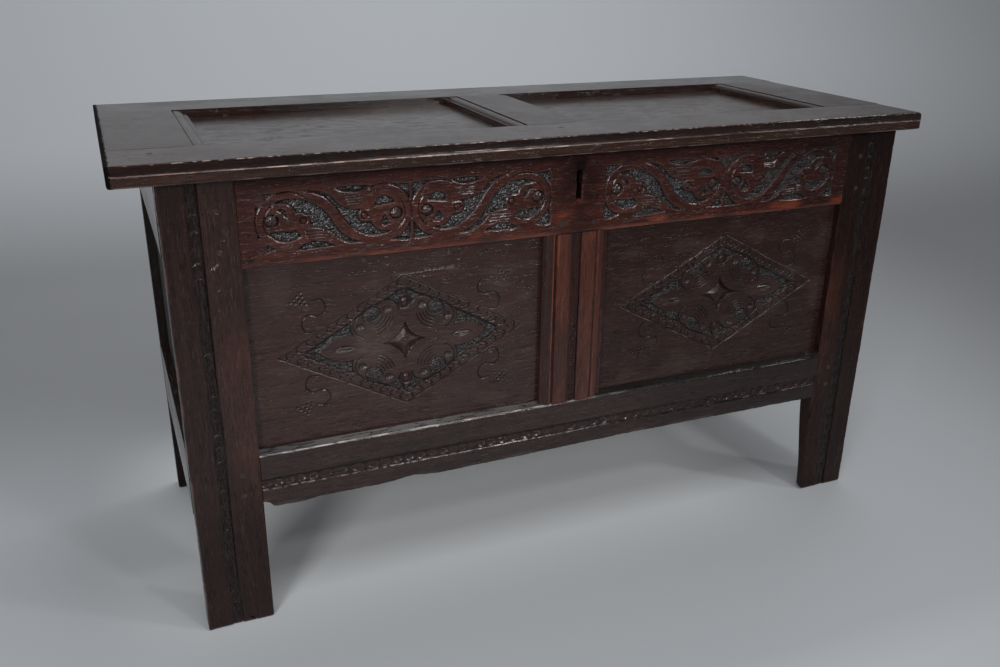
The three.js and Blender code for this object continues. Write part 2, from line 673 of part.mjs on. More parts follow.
function lockCase() {
  const body = box(lockSpan, [lockFace, lockFace + lockDepth], [lockBase, lockRim]);
  const well = box([stapleAt - stapleWellWidth / 2, stapleAt + stapleWellWidth / 2],
    grown(stapleBand, stapleClearance), [stapleBase - stapleClearance, lockRim + cutOverrun]);
  const runway = box([boltSpan[0] - boltThrow - fitClearance, boltSpan[1] + cutOverrun],
    grown(boltBand, fitClearance), grown(boltHeights, fitClearance));
  const chamber = box([keyholeAt - keyChamberHalfWidth, keyholeAt + keyChamberHalfWidth],
    grown(boltBand, fitClearance), [keyholeBase, boltHeights[1]]);
  const keyhole = keyholeCut([lockFace - cutOverrun, boltBand[1]]);
  return cut(body, well, runway, chamber, keyhole);
}

function lockBolt() {
  return box(boltSpan, boltBand, boltHeights);
}

// Staple under the lid: a plate and a loop that the bolt runs through
function lidStaple() {
  const ceiling = lidBase - fitClearance;
  const plateBase = ceiling - staplePlateThickness;
  const holeBand = [boltCentreY - stapleHole / 2, boltCentreY + stapleHole / 2];
  const plateFront = lockFace + staplePlateInset;
  const plate = box([stapleAt - staplePlateWidth / 2, stapleAt + staplePlateWidth / 2],
    [plateFront, plateFront + staplePlateDepth], [plateBase, ceiling]);
  const thickness = [stapleAt - stapleBar / 2, stapleAt + stapleBar / 2];
  const loop = cut(box(thickness, stapleBand, [stapleBase, plateBase + fitClearance]),
    box(grown(thickness, cutOverrun), holeBand, [stapleHoleBase, boltHeights[1] + stapleHoleHeadroom]));
  return join(plate, loop);
}

// Lid in its own frame: x from its left end, y from its front edge, z from its underside
function lidEdgeProfile(width) {
  const top = lidThickness;
  const coveStart = [lidNosing + lidCoveRun, top - lidEdgeQuirkDepth];
  const points = [[width, 0], [width, top], [lidNosing + lidCoveRun + lidEdgeQuirkWidth, top]];
  points.push([lidNosing + lidCoveRun + lidEdgeQuirkWidth, coveStart[1]]);
  for (let i = 0; i <= lidCoveSteps; i += 1) {
    const turn = (i / lidCoveSteps) * (Math.PI / 2);
    points.push([coveStart[0] - lidCoveRun * (1 - Math.cos(turn)),
      coveStart[1] - (coveStart[1] - lidCoveBase) * Math.sin(turn)]);
  }
  points.push([0, lidCoveBase], [0, lidNosing], [lidNosing, 0]);
  return points;
}

const lidGrooveHeights = grown([lidPanelTop - panelEdgeThickness, lidPanelTop], fitClearance);
const lidTenonHeights = [lidThickness - lidTenonSetback - tenonThickness, lidThickness - lidTenonSetback];
const lidMiddle = [lidFrontRailWidth, lidDepth - lidBackRailWidth];
const lidRightStileFlat = lidWidth - lidRightStileShort - lidRightStileWidth;
const lidMuntinAt = lidWidth / 2 - lidMuntinWidth / 2 + lidMuntinRightOfMiddle;
const lidMembers = {
  left_stile: { low: 0, high: lidLeftStileWidth, mouldHigh: true },
  muntin: { low: lidMuntinAt, high: lidMuntinAt + lidMuntinWidth, mouldLow: true, mouldHigh: true },
  right_stile: { low: lidRightStileFlat, high: lidRightStileFlat + lidRightStileWidth, mouldLow: true },
};

const lidPegs = Object.entries(lidMembers).flatMap(([member, { low, high }]) => (
  [['front', lidMiddle[0] - lidPegInset], ['back', lidMiddle[1] + lidPegInset]].map(([end, y]) => ({
    name: `peg_lid_${member}_${end}`, at: [(low + high) / 2, y, lidThickness],
  }))));
const lidPegBores = lidPegs.map(({ at }) => pegBore(at, lidThickness, 'down'));

function lidTenonSpan({ low, high, mouldLow, mouldHigh }) {
  return [low + (mouldLow ? 0 : tenonHaunch), high - (mouldHigh ? 0 : tenonHaunch)];
}

// Cross member of the lid, running front to back between the two long rails
function lidMember(sizes) {
  const outline = memberOutline({ ...sizes, thickness: lidThickness });
  const section = outline.map(([x, depth]) => [x, lidThickness - depth]);
  const body = alongY(section, grown(lidMiddle, -fitClearance));
  const tenons = box(lidTenonSpan(sizes), grown(lidMiddle, lidTenonLength), lidTenonHeights);
  const edges = [];
  if (sizes.mouldLow) {
    const edge = sizes.low - mouldingWidth;
    edges.push(box([edge - cutOverrun, edge + grooveDepth], lidMiddle, lidGrooveHeights));
  }
  if (sizes.mouldHigh) {
    const edge = sizes.high + mouldingWidth;
    edges.push(box([edge - grooveDepth, edge + cutOverrun], lidMiddle, lidGrooveHeights));
  }
  return cut(join(body, tenons), ...edges, ...lidPegBores);
}

function lidMortises() {
  return Object.values(lidMembers).map((sizes) => box(grown(lidTenonSpan(sizes), fitClearance),
    grown(lidMiddle, lidTenonLength + fitClearance), grown(lidTenonHeights, fitClearance)));
}

const lidPanelReach = grown([lidLeftStileWidth + mouldingWidth, lidRightStileFlat - mouldingWidth],
  grooveDepth);

function lidFrontRail() {
  const body = alongX(lidEdgeProfile(lidFrontRailWidth), [0, lidWidth]);
  const across = [lidMiddle[0] - grooveDepth, lidMiddle[0] + cutOverrun];
  const groove = box(lidPanelReach, across, lidGrooveHeights);
  return cut(body, groove, ...lidMortises(), ...lidPegBores);
}

function lidBackRail() {
  const body = box([0, lidWidth], [lidMiddle[1], lidDepth], [0, lidThickness]);
  const across = [lidMiddle[1] - cutOverrun, lidMiddle[1] + grooveDepth];
  const groove = box(lidPanelReach, across, lidGrooveHeights);
  const hingeBores = hingeInsets.map((_, k) => lidSnipe(hingeAt(k) + lidLeftOverhang, fitClearance));
  return cut(body, groove, ...lidMortises(), ...hingeBores, ...lidPegBores);
}

function lidPanel(name, [left, right]) {
  const [width, depth] = [right - left + 2 * panelTongue, lidMiddle[1] - lidMiddle[0] + 2 * panelTongue];
  const mesh = panelMesh(name, width, depth, lidPanelThickness, finishes.lid);
  mesh.rotation.x = Math.PI;
  mesh.position.set((left + right) / 2, (lidMiddle[0] + lidMiddle[1]) / 2, lidPanelTop);
  return mesh;
}

function lid() {
  const group = new THREE.Group();
  const { muntin } = lidMembers;
  group.add(
    piece('lid_front_rail', lidFrontRail(), finishes.lid),
    piece('lid_back_rail', lidBackRail(), finishes.lid),
    lidPanel('lid_left_panel', [lidLeftStileWidth + mouldingWidth, muntin.low - mouldingWidth]),
    lidPanel('lid_right_panel', [muntin.high + mouldingWidth, lidRightStileFlat - mouldingWidth]));
  for (const [name, sizes] of Object.entries(lidMembers)) {
    group.add(piece(`lid_${name}`, lidMember(sizes), finishes.lid));
  }
  for (const { name, at } of lidPegs) {
    group.add(piece(name, pegShape(at, lidThickness, pegRadius, pegTaperShare, 'down'), finishes.peg));
  }
  hingeInsets.forEach((_, k) => {
    const name = `hinge_lid_eye_${['left', 'right'][k]}`;
    group.add(piece(name, lidSnipe(hingeAt(k) + lidLeftOverhang, 0), finishes.iron));
  });
  group.position.set(-lidLeftOverhang, -lidFrontOverhang, lidBase);
  return group;
}

function ironwork() {
  const group = new THREE.Group();
  group.add(
    piece('lock_case', lockCase(), finishes.iron),
    piece('lock_bolt', lockBolt(), finishes.iron),
    piece('lid_staple', lidStaple(), finishes.iron));
  hingeInsets.forEach((_, k) => {
    const name = `hinge_carcase_eye_${['left', 'right'][k]}`;
    group.add(piece(name, carcaseSnipe(hingeAt(k), carcaseDepth, 0, 1), finishes.iron));
  });
  return group;
}

// The origin is under the middle of the whole chest, on the floor
const coffer = new THREE.Group();
coffer.add(frontWall(), backWall(), endWall('left'), endWall('right'), floorBoards(), ironwork(), lid());
const middleX = lidWidth / 2 - lidLeftOverhang;
const middleY = (pivotY + eyeOuterRadius - lidFrontOverhang) / 2;
coffer.position.set(-middleX, -middleY, 0);

export default coffer;
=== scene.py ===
import math

import bpy
import numpy as np
from mathutils import Matrix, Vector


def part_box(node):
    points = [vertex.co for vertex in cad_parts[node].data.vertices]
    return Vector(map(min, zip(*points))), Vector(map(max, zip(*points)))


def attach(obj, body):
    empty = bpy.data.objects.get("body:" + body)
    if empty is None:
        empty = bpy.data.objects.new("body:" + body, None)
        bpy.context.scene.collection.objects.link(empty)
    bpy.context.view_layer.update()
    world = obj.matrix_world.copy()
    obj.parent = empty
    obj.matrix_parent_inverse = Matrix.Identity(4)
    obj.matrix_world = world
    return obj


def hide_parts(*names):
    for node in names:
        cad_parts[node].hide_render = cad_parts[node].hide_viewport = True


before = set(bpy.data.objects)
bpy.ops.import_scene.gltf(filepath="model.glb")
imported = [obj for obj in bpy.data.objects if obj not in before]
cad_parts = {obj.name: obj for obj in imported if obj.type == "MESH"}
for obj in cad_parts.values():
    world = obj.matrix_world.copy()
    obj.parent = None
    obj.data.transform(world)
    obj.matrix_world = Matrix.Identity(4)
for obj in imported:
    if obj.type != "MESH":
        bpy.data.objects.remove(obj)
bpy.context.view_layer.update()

# Camera: the photograph's standpoint, left of the chest's middle and above its lid, looking down
# and to the right. The lens is the one that gives its perspective on a frame 1000 pixels wide.
stand = np.array([-0.6282, -1.44315, 0.9438])
turned_right, tipped_down, rolled = 0.4024, 0.3857, 0.0131
focal_pixels, frame_pixels, film_width = 957.87, 1000, 36
ahead = np.array([math.sin(turned_right) * math.cos(tipped_down),
                  math.cos(turned_right) * math.cos(tipped_down), -math.sin(tipped_down)])
level = np.cross(ahead, [0, 0, 1])
level /= np.linalg.norm(level)
upright = np.cross(level, ahead)
right_hand = level * math.cos(rolled) + upright * math.sin(rolled)
overhead = upright * math.cos(rolled) - level * math.sin(rolled)


def placed(right_axis, up_axis, back_axis, origin):
    """Matrix that stands an object at the origin given, with its own axes along these."""
    rows = np.stack([right_axis, up_axis, back_axis], axis=1)
    return Matrix([[*row, at] for row, at in zip(rows, origin)] + [[0, 0, 0, 1]])


def added(name, data):
    """New object of the scene with this data."""
    made = bpy.data.objects.new(name, data)
    bpy.context.scene.collection.objects.link(made)
    return made


view = bpy.data.cameras.new("camera")
view.sensor_width = film_width
view.lens = focal_pixels / frame_pixels * film_width
camera = added("camera", view)
camera.matrix_world = placed(right_hand, overhead, -ahead, stand)
bpy.context.scene.camera = camera

# Front stiles: two upright planks of riven oak that run down as the legs. Each has a scratched channel
# down its face, nicked by hand with a gouge, and arrises rounded by three centuries of knocks. The
# left foot is cracked, and the right one is worn away on its inner side and behind.
mm = 0.001
corner = np.array([*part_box("front_left_stile")[0]][:2] + [0.0])


def span(node, axis):
    """A node's reach along an axis, in millimetres from the front's left corner on the floor."""
    low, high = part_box(node)
    return (low[axis] - corner[axis]) / mm, (high[axis] - corner[axis]) / mm


def skin(name, wood, sections, crease=50, **marks):
    """Closed piece over sections, each a loop of points in millimetres from the front's left corner.
    Quads join neighbours along and around, a flat face closes each end, and edges that turn more
    than the crease angle stay sharp. Each mark is a number per point that the finish reads."""
    first, last = sections[0], sections[-1]
    turn = np.cross(first, np.roll(first, -1, axis=0)).sum(0) @ (last.mean(0) - first.mean(0))
    order = slice(None) if turn > 0 else slice(None, None, -1)
    sections = sections[:, order]
    along, around = sections.shape[:2]
    index = np.arange(along * around).reshape(along, around)
    beside = np.roll(index, -1, axis=1)
    quads = np.stack([index[:-1], beside[:-1], beside[1:], index[1:]], axis=-1).reshape(-1, 4)
    corners = np.concatenate([quads.ravel(), index[0][::-1], index[-1]]).astype(np.int32)
    starts = np.concatenate([np.arange(len(quads)) * 4, quads.size + np.array([0, around])])
    mesh = bpy.data.meshes.new(name)
    mesh.vertices.add(along * around)
    mesh.vertices.foreach_set("co", (corner + sections.reshape(-1, 3) * mm).astype(np.float32).ravel())
    mesh.loops.add(len(corners))
    mesh.loops.foreach_set("vertex_index", corners)
    mesh.polygons.add(len(starts))
    mesh.polygons.foreach_set("loop_start", starts.astype(np.int32))
    mesh.polygons.foreach_set("use_smooth", np.ones(len(starts), bool))
    for mark, values in marks.items():
        kept = mesh.attributes.new(mark, "FLOAT", "POINT")
        kept.data.foreach_set("value", values[:, order].astype(np.float32).ravel())
    mesh.update(calc_edges=True)
    mesh.validate()
    mesh.set_sharp_from_angle(angle=math.radians(crease))
    mesh.materials.append(wood)
    return added(name, mesh)


def board(name, wood, length, breadth, depth, back, standing=False, fitted=None, **marks):
    """Board with a worked face. Its face lies depth below the front, on a grid of places along its
    length and across its breadth; its back is at the given depth, from the far edge to the near one.
    A standing board runs up, the others run to the right. Where its ends are fitted to another piece,
    that function gives the place along from the one on the grid and the depth."""
    lip = 1.5
    near, far = breadth[:, :1], breadth[:, -1:]
    rear = np.broadcast_to(back, (len(length), 2))
    across = np.hstack([breadth, far, far, near, near])
    deep = np.hstack([depth, depth[:, -1:] + lip, rear, depth[:, :1] + lip])
    run = np.broadcast_to(length.reshape(len(length), -1), across.shape)
    if fitted:
        run = fitted(run, deep)
    order = (across, deep, run) if standing else (run, deep, across)
    behind = across.shape[1] - breadth.shape[1]
    marks = {mark: np.hstack([values] + [values[:, -1:] * 0] * behind) for mark, values in marks.items()}
    return skin(name, wood, np.stack(order, axis=-1), **marks)


def clouds(a, b, size, seed):
    """Smooth random field from -1 to 1 over two coordinates: seeded numbers on a lattice with the
    given spacing, blended between its places by smoothsteps."""
    count = 61
    lattice = np.random.default_rng(seed).uniform(-1, 1, (count, count))
    a, b = np.broadcast_arrays(a / size, b / size)
    i, j = np.floor(a).astype(int), np.floor(b).astype(int)
    s, t = (f * f * (3 - 2 * f) for f in (a - i, b - j))
    i, j, next_i, next_j = i % count, j % count, (i + 1) % count, (j + 1) % count
    near = lattice[i, j] * (1 - s) + lattice[next_i, j] * s
    far = lattice[i, next_j] * (1 - s) + lattice[next_i, next_j] * s
    return near * (1 - t) + far * t


def step(low, high, value):
    """Smoothstep: 0 below low, 1 above high, 3t squared less 2t cubed between."""
    t = np.clip((value - low) / (high - low), 0, 1)
    return t * t * (3 - 2 * t)


def rounding(inside, radius):
    """How far a rounded arris of this radius lies below the face, by the distance in from the edge."""
    reach = np.clip(radius - inside, 0, radius)
    return radius - np.sqrt(radius ** 2 - reach ** 2)


def most(*fields):
    """The largest of several fields at each place."""
    found = fields[0]
    for field in fields[1:]:
        found = np.maximum(found, field)
    return found


def node(tree, kind, **settings):
    """Adds a shader node. A setting named for an input links or fills it; the others are the node's own."""
    made = tree.nodes.new("ShaderNode" + kind)
    for key, value in settings.items():
        if key[0].islower():
            setattr(made, key, value)
            continue
        socket = made.inputs[int(key[1:])] if key[1:].isdigit() else made.inputs[key.replace("_", " ")]
        if isinstance(value, bpy.types.NodeSocket):
            tree.links.new(value, socket)
        else:
            socket.default_value = value
    return made


def noise(tree, place, scale, detail, **settings):
    return node(tree, "TexNoise", Vector=place, Scale=scale, Detail=detail, **settings).outputs["Fac"]


def new_material(name):
    """Material with nodes, its node tree, and the inputs of its shader."""
    material = bpy.data.materials.new(name)
    material.use_nodes = True
    return material, material.node_tree, material.node_tree.nodes["Principled BSDF"].inputs


def mixed(share, one, other):
    """Colour between two others, by a share from 0 to 1 that is a socket."""
    return node(share.id_data, "Mix", data_type="RGBA", Factor=share, I6=one, I7=other).outputs[2]


def ramped(value, low, high, to_low=0.0, to_high=1.0):
    """Socket's number carried smoothly from one range to another."""
    return node(value.id_data, "MapRange", interpolation_type="SMOOTHSTEP", Value=value, From_Min=low,
                From_Max=high, To_Min=to_low, To_Max=to_high).outputs["Result"]


def reckoned(operation):
    """Function that gives this sum of two numbers, of which one or both are sockets."""
    def add(one, other):
        tree = (other if isinstance(one, float) else one).id_data
        return node(tree, "Math", operation=operation, I0=one, I1=other).outputs[0]
    return add


plus, minus, times, larger = map(reckoned, ("ADD", "SUBTRACT", "MULTIPLY", "MAXIMUM"))


def toned(colour, share, lift=0.0):
    """Colour at a share of its strength, lifted by a little where that is given."""
    return [min(1, c * share + lift) for c in colour] + [1]


def oak(name, along, dark, light, worn=(0.2, 0.06, 0.03), shade=1.0, roughness=0.24, shift=(0, 0, 0),
        gloss=0.5, relief=0.42, glints_and_wax=0.12, end_at=None):
    """Waxed oak, in Object coordinates: long streaks of dark and light wood along the grain, short open
    pores, pale dashes along some pores that stand partly for wax in them and partly for painted
    glints, blotches of old wax, and a fine dark speckle. Three marks change it: 'sunk' is ground
    matted with a punch; a second darkens the colour and takes away reflection, as wax and sooty dirt
    gathered in some recesses and as painted shade in cuts, grooves, hollows and under things; and a
    third wears an arris back to bare wood, and on some pieces paints a pale line there as a highlight.
    A shade below one gives a darker copy of the finish, as painted shade. Where a place to the left is
    given, the wood to the left of it is black and rough, up to a line that the speckle makes jagged."""
    soot_and_shade_black, end_black, end_jag = (0.004, 0.0035, 0.004, 1), (0.003, 0.0025, 0.0025, 1), 0.011
    pit_black, punch_grey = (0.0035, 0.003, 0.003, 1), (0.034, 0.028, 0.0285, 1)
    full_dark, full_light = toned(dark, shade), toned(light, shade)
    dark, light = full_dark[:3], full_light[:3]
    material, tree, shader = new_material(name)
    place = node(tree, "TexCoord").outputs["Object"]
    drift = node(tree, "TexNoise", Vector=place, Scale=5.0, Detail=2.0).outputs["Color"]
    bent = node(tree, "VectorMath", operation="MULTIPLY_ADD", I0=drift, I1=(0.004,) * 3, I2=place).outputs[0]
    stretch = [20.0, 20.0, 20.0]
    stretch[along] = 1.0
    grain = node(tree, "Mapping", Vector=bent, Location=shift, Scale=stretch).outputs[0]
    stretch = [9.0 if scale > 1 else 1.0 for scale in stretch]
    short = node(tree, "Mapping", Vector=bent, Location=shift, Scale=stretch).outputs[0]
    streaks = noise(tree, grain, 6.0, 8.0, Roughness=0.72)
    fibres = noise(tree, grain, 42.0, 3.0, Roughness=0.6)
    dashes = noise(tree, short, 38.0, 2.0)
    pits = ramped(dashes, 0.58, 0.66)
    pore_dashes = noise(tree, short, 66.0, 2.0)
    wax = noise(tree, place, 8.0, 5.0, Roughness=0.62)
    speckle = noise(tree, place, 420.0, 2.0)
    colour = mixed(ramped(streaks, 0.28, 0.74), full_dark, full_light)
    colour = mixed(ramped(fibres, 0.4, 0.62, 0.0, 0.45), colour, toned(dark, 0.5))
    colour = mixed(times(pits, 0.4), colour, toned(dark, 0.2))
    colour = mixed(ramped(wax, 0.38, 0.66, 0.0, 0.3), colour, toned(dark, 0.45))
    # Pale dashes along the pores: partly wax in them, partly painted glints.
    colour = mixed(ramped(pore_dashes, 0.58, 0.7, 0.0, glints_and_wax), colour, toned(light, 1, 0.09))
    colour = mixed(ramped(speckle, 0.42, 0.66, 0.0, 0.4), colour, toned(dark, 0.4))
    sunk, grime, rubbed_and_glint = (node(tree, "Attribute", attribute_name=mark).outputs["Fac"]
                           for mark in ("sunk", "grime", "worn"))
    # Darkens toward black: sooty dirt in some recesses, painted shade in cuts, grooves and hollows.
    colour = mixed(times(grime, 0.9), colour, soot_and_shade_black)
    grit = plus(times(speckle, 0.45), times(pore_dashes, 0.55))
    colour = mixed(sunk, colour, mixed(ramped(grit, 0.44, 0.6), pit_black, punch_grey))
    bare = mixed(ramped(fibres, 0.36, 0.62), toned(worn, 1.25, 0.01), toned(worn, 0.6))
    colour = mixed(rubbed_and_glint, colour, bare)
    # Takes reflection away where that mark is high, as painted shade, and a little in the open pores.
    dull_and_shaded = plus(times(grime, 0.95), times(pits, 0.2))
    coarse = ramped(wax, 0.3, 0.7, roughness - 0.05, roughness + 0.07)
    # The wood left of the given place is made black, rough and without reflection.
    if end_at is not None:
        inward = node(tree, "SeparateXYZ", I0=place).outputs[0]
        jagged = minus(inward, times(speckle, end_jag))
        black_end = ramped(jagged, end_at - 0.0003, end_at + 0.0006, 1.0, 0.0)
        colour = mixed(black_end, colour, end_black)
        dull_and_shaded = larger(dull_and_shaded, black_end)
        coarse = larger(coarse, black_end)
    tree.links.new(colour, shader["Base Color"])
    tree.links.new(coarse, shader["Roughness"])
    tree.links.new(mixed(dull_and_shaded, (1, 1, 1, 1), (0, 0, 0, 1)), shader["Specular Tint"])
    shader["Specular IOR Level"].default_value = gloss
    punches = node(tree, "TexVoronoi", Vector=place, Scale=380.0).outputs["Distance"]
    height = minus(times(streaks, 0.2), times(pits, 0.5))
    height = minus(height, times(fibres, 0.12))
    height = plus(height, times(times(punches, sunk), 2.2))
    bump = node(tree, "Bump", Height=height, Strength=relief, Distance=0.0012).outputs[0]
    tree.links.new(bump, shader["Normal"])
    return material


def thumb_cuts(run, across, half, pitch, seed, missing=0.0):
    """Depth of a row of thumbnail cuts in a channel: each opens in a crescent across the channel and
    fades out before the next. Their depths vary, and a share of them is missing."""
    phase = run / pitch + 0.3 * (across / half) ** 2 + 0.25 * clouds(run, 0, 2.3 * pitch, seed)
    number = np.floor(phase).astype(int)
    chance = np.random.default_rng(seed).uniform(0, 1, (2, 400))
    deep = 1.6 * (0.6 + 0.6 * chance[0, number % 400]) * (chance[1, number % 400] > missing)
    width = np.clip(1 - (across / half) ** 2, 0, 1)
    return deep * width * (1 - step(0.0, 0.62, phase - number))


plank_step = 1.3
half, floor_depth, quirk_depth = 7.5, 1.3, 1.8
cut_pitch, cuts_missing = 21, 0.15
scars = ((62, 557, 11), (64.6, 525.8, 5), (62.5, 496.1, 4.5), (75, 590, 4))
crack_foot, crack_left, crack_top, crack_depth = 70.5, 60, 11, 3
# The right stile's finish is a darker copy of the left's: painted shade on the chest's right side.
for side, seed, channel, gloss, foot_radius, foot_wear, shade in (
        ("left", 3, 42.0, 0.42, 3.0, 0.0, 0.88), ("right", 8, 1122.0, 0.2, 14.0, 21.0, 0.6)):
    node_name = f"front_{side}_stile"
    left, right = span(node_name, 0)
    thickness = span(node_name, 1)[1]
    top = span(node_name, 2)[1]
    up = np.concatenate([np.linspace(0, 5, 6)[:-1], np.arange(5, top, plank_step), [top]])
    across = np.linspace(left, right, int((right - left) / plank_step))
    Z, X = np.meshgrid(up, across, indexing="ij")
    inner_edge, outer_edge = (right, left) if side == "left" else (left, right)
    outward = np.sign(outer_edge - inner_edge)
    from_outer, from_inner = np.abs(X - outer_edge), np.abs(X - inner_edge)
    knocks = 0.5 + 0.5 * clouds(Z, 0, 46, seed)
    X = X - outward * (knocks * 1.1 + 0.5 * clouds(Z, 0, 9, seed + 1).clip(0)) * step(12, 0, from_outer)
    foot = rounding(Z, 4.0) * (0.7 + 0.5 * clouds(X, Z, 13, seed))
    to_middle = np.where(X < (left + right) / 2, 1, -1)
    X = X + (foot * 0.6) * to_middle * step(30, 0, np.minimum(X - left, right - X))
    X = X + outward * rounding(Z, foot_radius) * step(45, 0, from_inner)
    offset = X - channel - 0.8 * clouds(Z, 0, 160, seed + 2)
    in_channel = step(half + 0.8, half - 0.8, np.abs(offset))
    quirk = step(1.3, 0.3, np.abs(offset - half))
    cuts = thumb_cuts(Z, offset, half, cut_pitch, seed, cuts_missing)
    depth = floor_depth * in_channel + in_channel * cuts + quirk_depth * quirk
    depth += rounding(from_outer, 2.2) * (0.5 + knocks) + rounding(from_inner, 1.0) + foot
    depth += 0.35 * clouds(X, Z, 55, seed) + 0.12 * clouds(X * 4, Z, 30, seed + 5) + 0.35
    arrises = step(3, 0, np.minimum(from_outer, from_inner + 1.5))
    inner_face = step(half + 2, half + 20, from_outer - abs(channel - outer_edge))
    rub_and_glint = 0.3 * arrises * step(-0.1, 0.9, clouds(Z, X, 30, seed + 4)) + 0.15 * step(5, 1, Z)
    hand_wear_and_glint = inner_face * step(180, 300, Z) * step(520, 400, Z)
    rub_and_glint += 0.1 * hand_wear_and_glint * (0.6 + 0.4 * clouds(X, Z, 40, seed + 6))
    outer_face = step(-half, -half - 3, (X - channel) * -outward)
    # Darker toward the outer face and the foot, and on the right stile toward the top.
    stain_and_shade = most(0.3 * outer_face * (0.7 + 0.3 * clouds(X, Z, 80, seed + 7)), 0.38 * step(300, 120, Z))
    if side == "right":
        stain_and_shade = most(stain_and_shade * 0.5, 0.35 * step(150, 480, Z))
    # The channel and its quirk are darkened as painted shade.
    stain_and_shade = most(stain_and_shade, 0.62 * in_channel, 0.8 * quirk)
    if side == "left":
        for x, z, size in scars:
            scar = step(size, 0.25 * size, np.hypot(X - x, (Z - z) * 1.5))
            scar = scar * (0.5 + clouds(X, Z, 2.3, 9)).clip(0)
            depth += 1.6 * scar
            rub_and_glint += 0.6 * scar * step(0.2, 0.6, clouds(X, Z, 1.8, 10))
        crack = step(1.6, 0.3, np.abs(X + Z - crack_foot))
        crack = crack * step(crack_left, crack_left + 2, X) * step(crack_top, crack_top - 3, Z)
        depth += crack_depth * crack
        # The crack is darkened as painted shade; the left stile's inner face is darker toward the top.
        stain_and_shade = most(stain_and_shade, crack, 0.3 * step(350, 560, Z) * step(45, 65, from_inner))
    worn_back = thickness - foot_wear * step(200, 5, up)
    rear = np.stack([0 * up + thickness, worn_back], axis=-1)
    wood = oak(f"{side}_stile_oak", 2, (0.016, 0.0068, 0.0054), (0.038, 0.0158, 0.0117), shade=shade,
               roughness=0.25, gloss=gloss, shift=(seed, 1, 4))
    stile = board(f"{side}_stile", wood, up, X, depth.clip(0), rear, standing=True,
                  sunk=0.3 * in_channel, grime=stain_and_shade.clip(0, 1), worn=rub_and_glint.clip(0, 1))
    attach(stile, "carcase")
    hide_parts(node_name)

# Frieze rail: the carved top rail, tenoned between the stiles and cut through for the key. Its
# pattern of paired scrolls is struck with gouges, and the ground is sunk and matted with a punch.
ground_depth = 4.6
unit_width, unit_height = 210, 80
scroll_one, scroll_two, scroll_radius = (40, 41), (170.5, 40.5), 39.5


def places(start, end, fine_start, fine_end, fine, coarse=3.5):
    """Places from start to end, a fine step apart over the carving and a coarse one beside it."""
    parts = []
    runs = (start, fine_start, coarse), (fine_start, fine_end, fine), (fine_end, end, coarse)
    for low, high, size in runs:
        parts.append(np.linspace(low, high, max(2, round((high - low) / size) + 1))[:-1])
    return np.concatenate([*parts, [end]])


def curve_through(points, share):
    """Line that bends smoothly through chosen points: between two of them it is the cubic that they
    and their neighbours give, at the given shares of the way."""
    knots = np.array(points, float)
    knots = np.vstack([2 * knots[0] - knots[1], knots, 2 * knots[-1] - knots[-2]])
    share = share[:, None]
    p, q, r, s = (knots[k:len(knots) - 3 + k, None] for k in range(4))
    curve = (2 * q + (r - p) * share + (2 * p - 5 * q + 4 * r - s) * share ** 2
             + (3 * q - p - 3 * r + s) * share ** 3) / 2
    return curve.reshape(-1, 2)


def outline(*runs):
    """Closed outline through chosen points. It bends smoothly within a run, and each run ends in a
    sharp corner where the next one starts."""
    starts = [runs[-1][-1]] + [run[-1] for run in runs[:-1]]
    share = np.linspace(0, 1, 6, endpoint=False)
    return np.vstack([curve_through([start, *run], share) for start, run in zip(starts, runs)])


def arc(centre, radius, start, end, count=7):
    """Points on an arc, with its angles in degrees from the right, anticlockwise."""
    turn = np.radians(np.linspace(start, end, count))
    return list(zip(centre[0] + radius * np.cos(turn), centre[1] + radius * np.sin(turn)))


def around(a, b, line, reach):
    """Which places lie within reach of the box round a line."""
    low, high = line.min(0) - reach, line.max(0) + reach
    return (a > low[0]) & (a < high[0]) & (b > low[1]) & (b < high[1])


def gap_to(a, b, starts, sides):
    """Offset of each place from the start of each straight side, and its least distance to them all:
    the offset less the share of the side that lies nearest to it."""
    offset = np.stack([a, b], axis=-1)[:, None] - starts
    share = np.clip((offset * sides).sum(-1) / most((sides ** 2).sum(-1), 1e-9), 0, 1)
    return offset, np.linalg.norm(offset - share[..., None] * sides, axis=-1).min(1)


def inside(a, b, shape, reach=4.0):
    """How far each place lies inside a closed outline, negative outside it: the least distance to
    its sides, with the sign from how often a line through the place crosses them."""
    near = around(a, b, shape, reach)
    side = np.roll(shape, -1, axis=0) - shape
    offset, gap = gap_to(a[near], b[near], shape, side)
    above = offset[..., 1] < 0
    crossed = above != np.roll(above, -1, axis=1)
    slope = np.where(side[:, 1] == 0, 1, side[:, 1])
    left_of = offset[..., 0] < offset[..., 1] * side[:, 0] / slope
    found = np.full(a.shape, -reach)
    found[near] = np.where((crossed & left_of).sum(1) % 2 == 1, gap, -gap)
    return found


def stroke(a, b, path, half, deep):
    """Depth of a V-shaped cut along an open line of points."""
    path = np.array(path, float)
    near = around(a, b, path, half)
    gap = gap_to(a[near], b[near], path[:-1], path[1:] - path[:-1])[1]
    found = np.zeros(a.shape)
    found[near] = deep * np.clip(1 - gap / half, 0, 1)
    return found


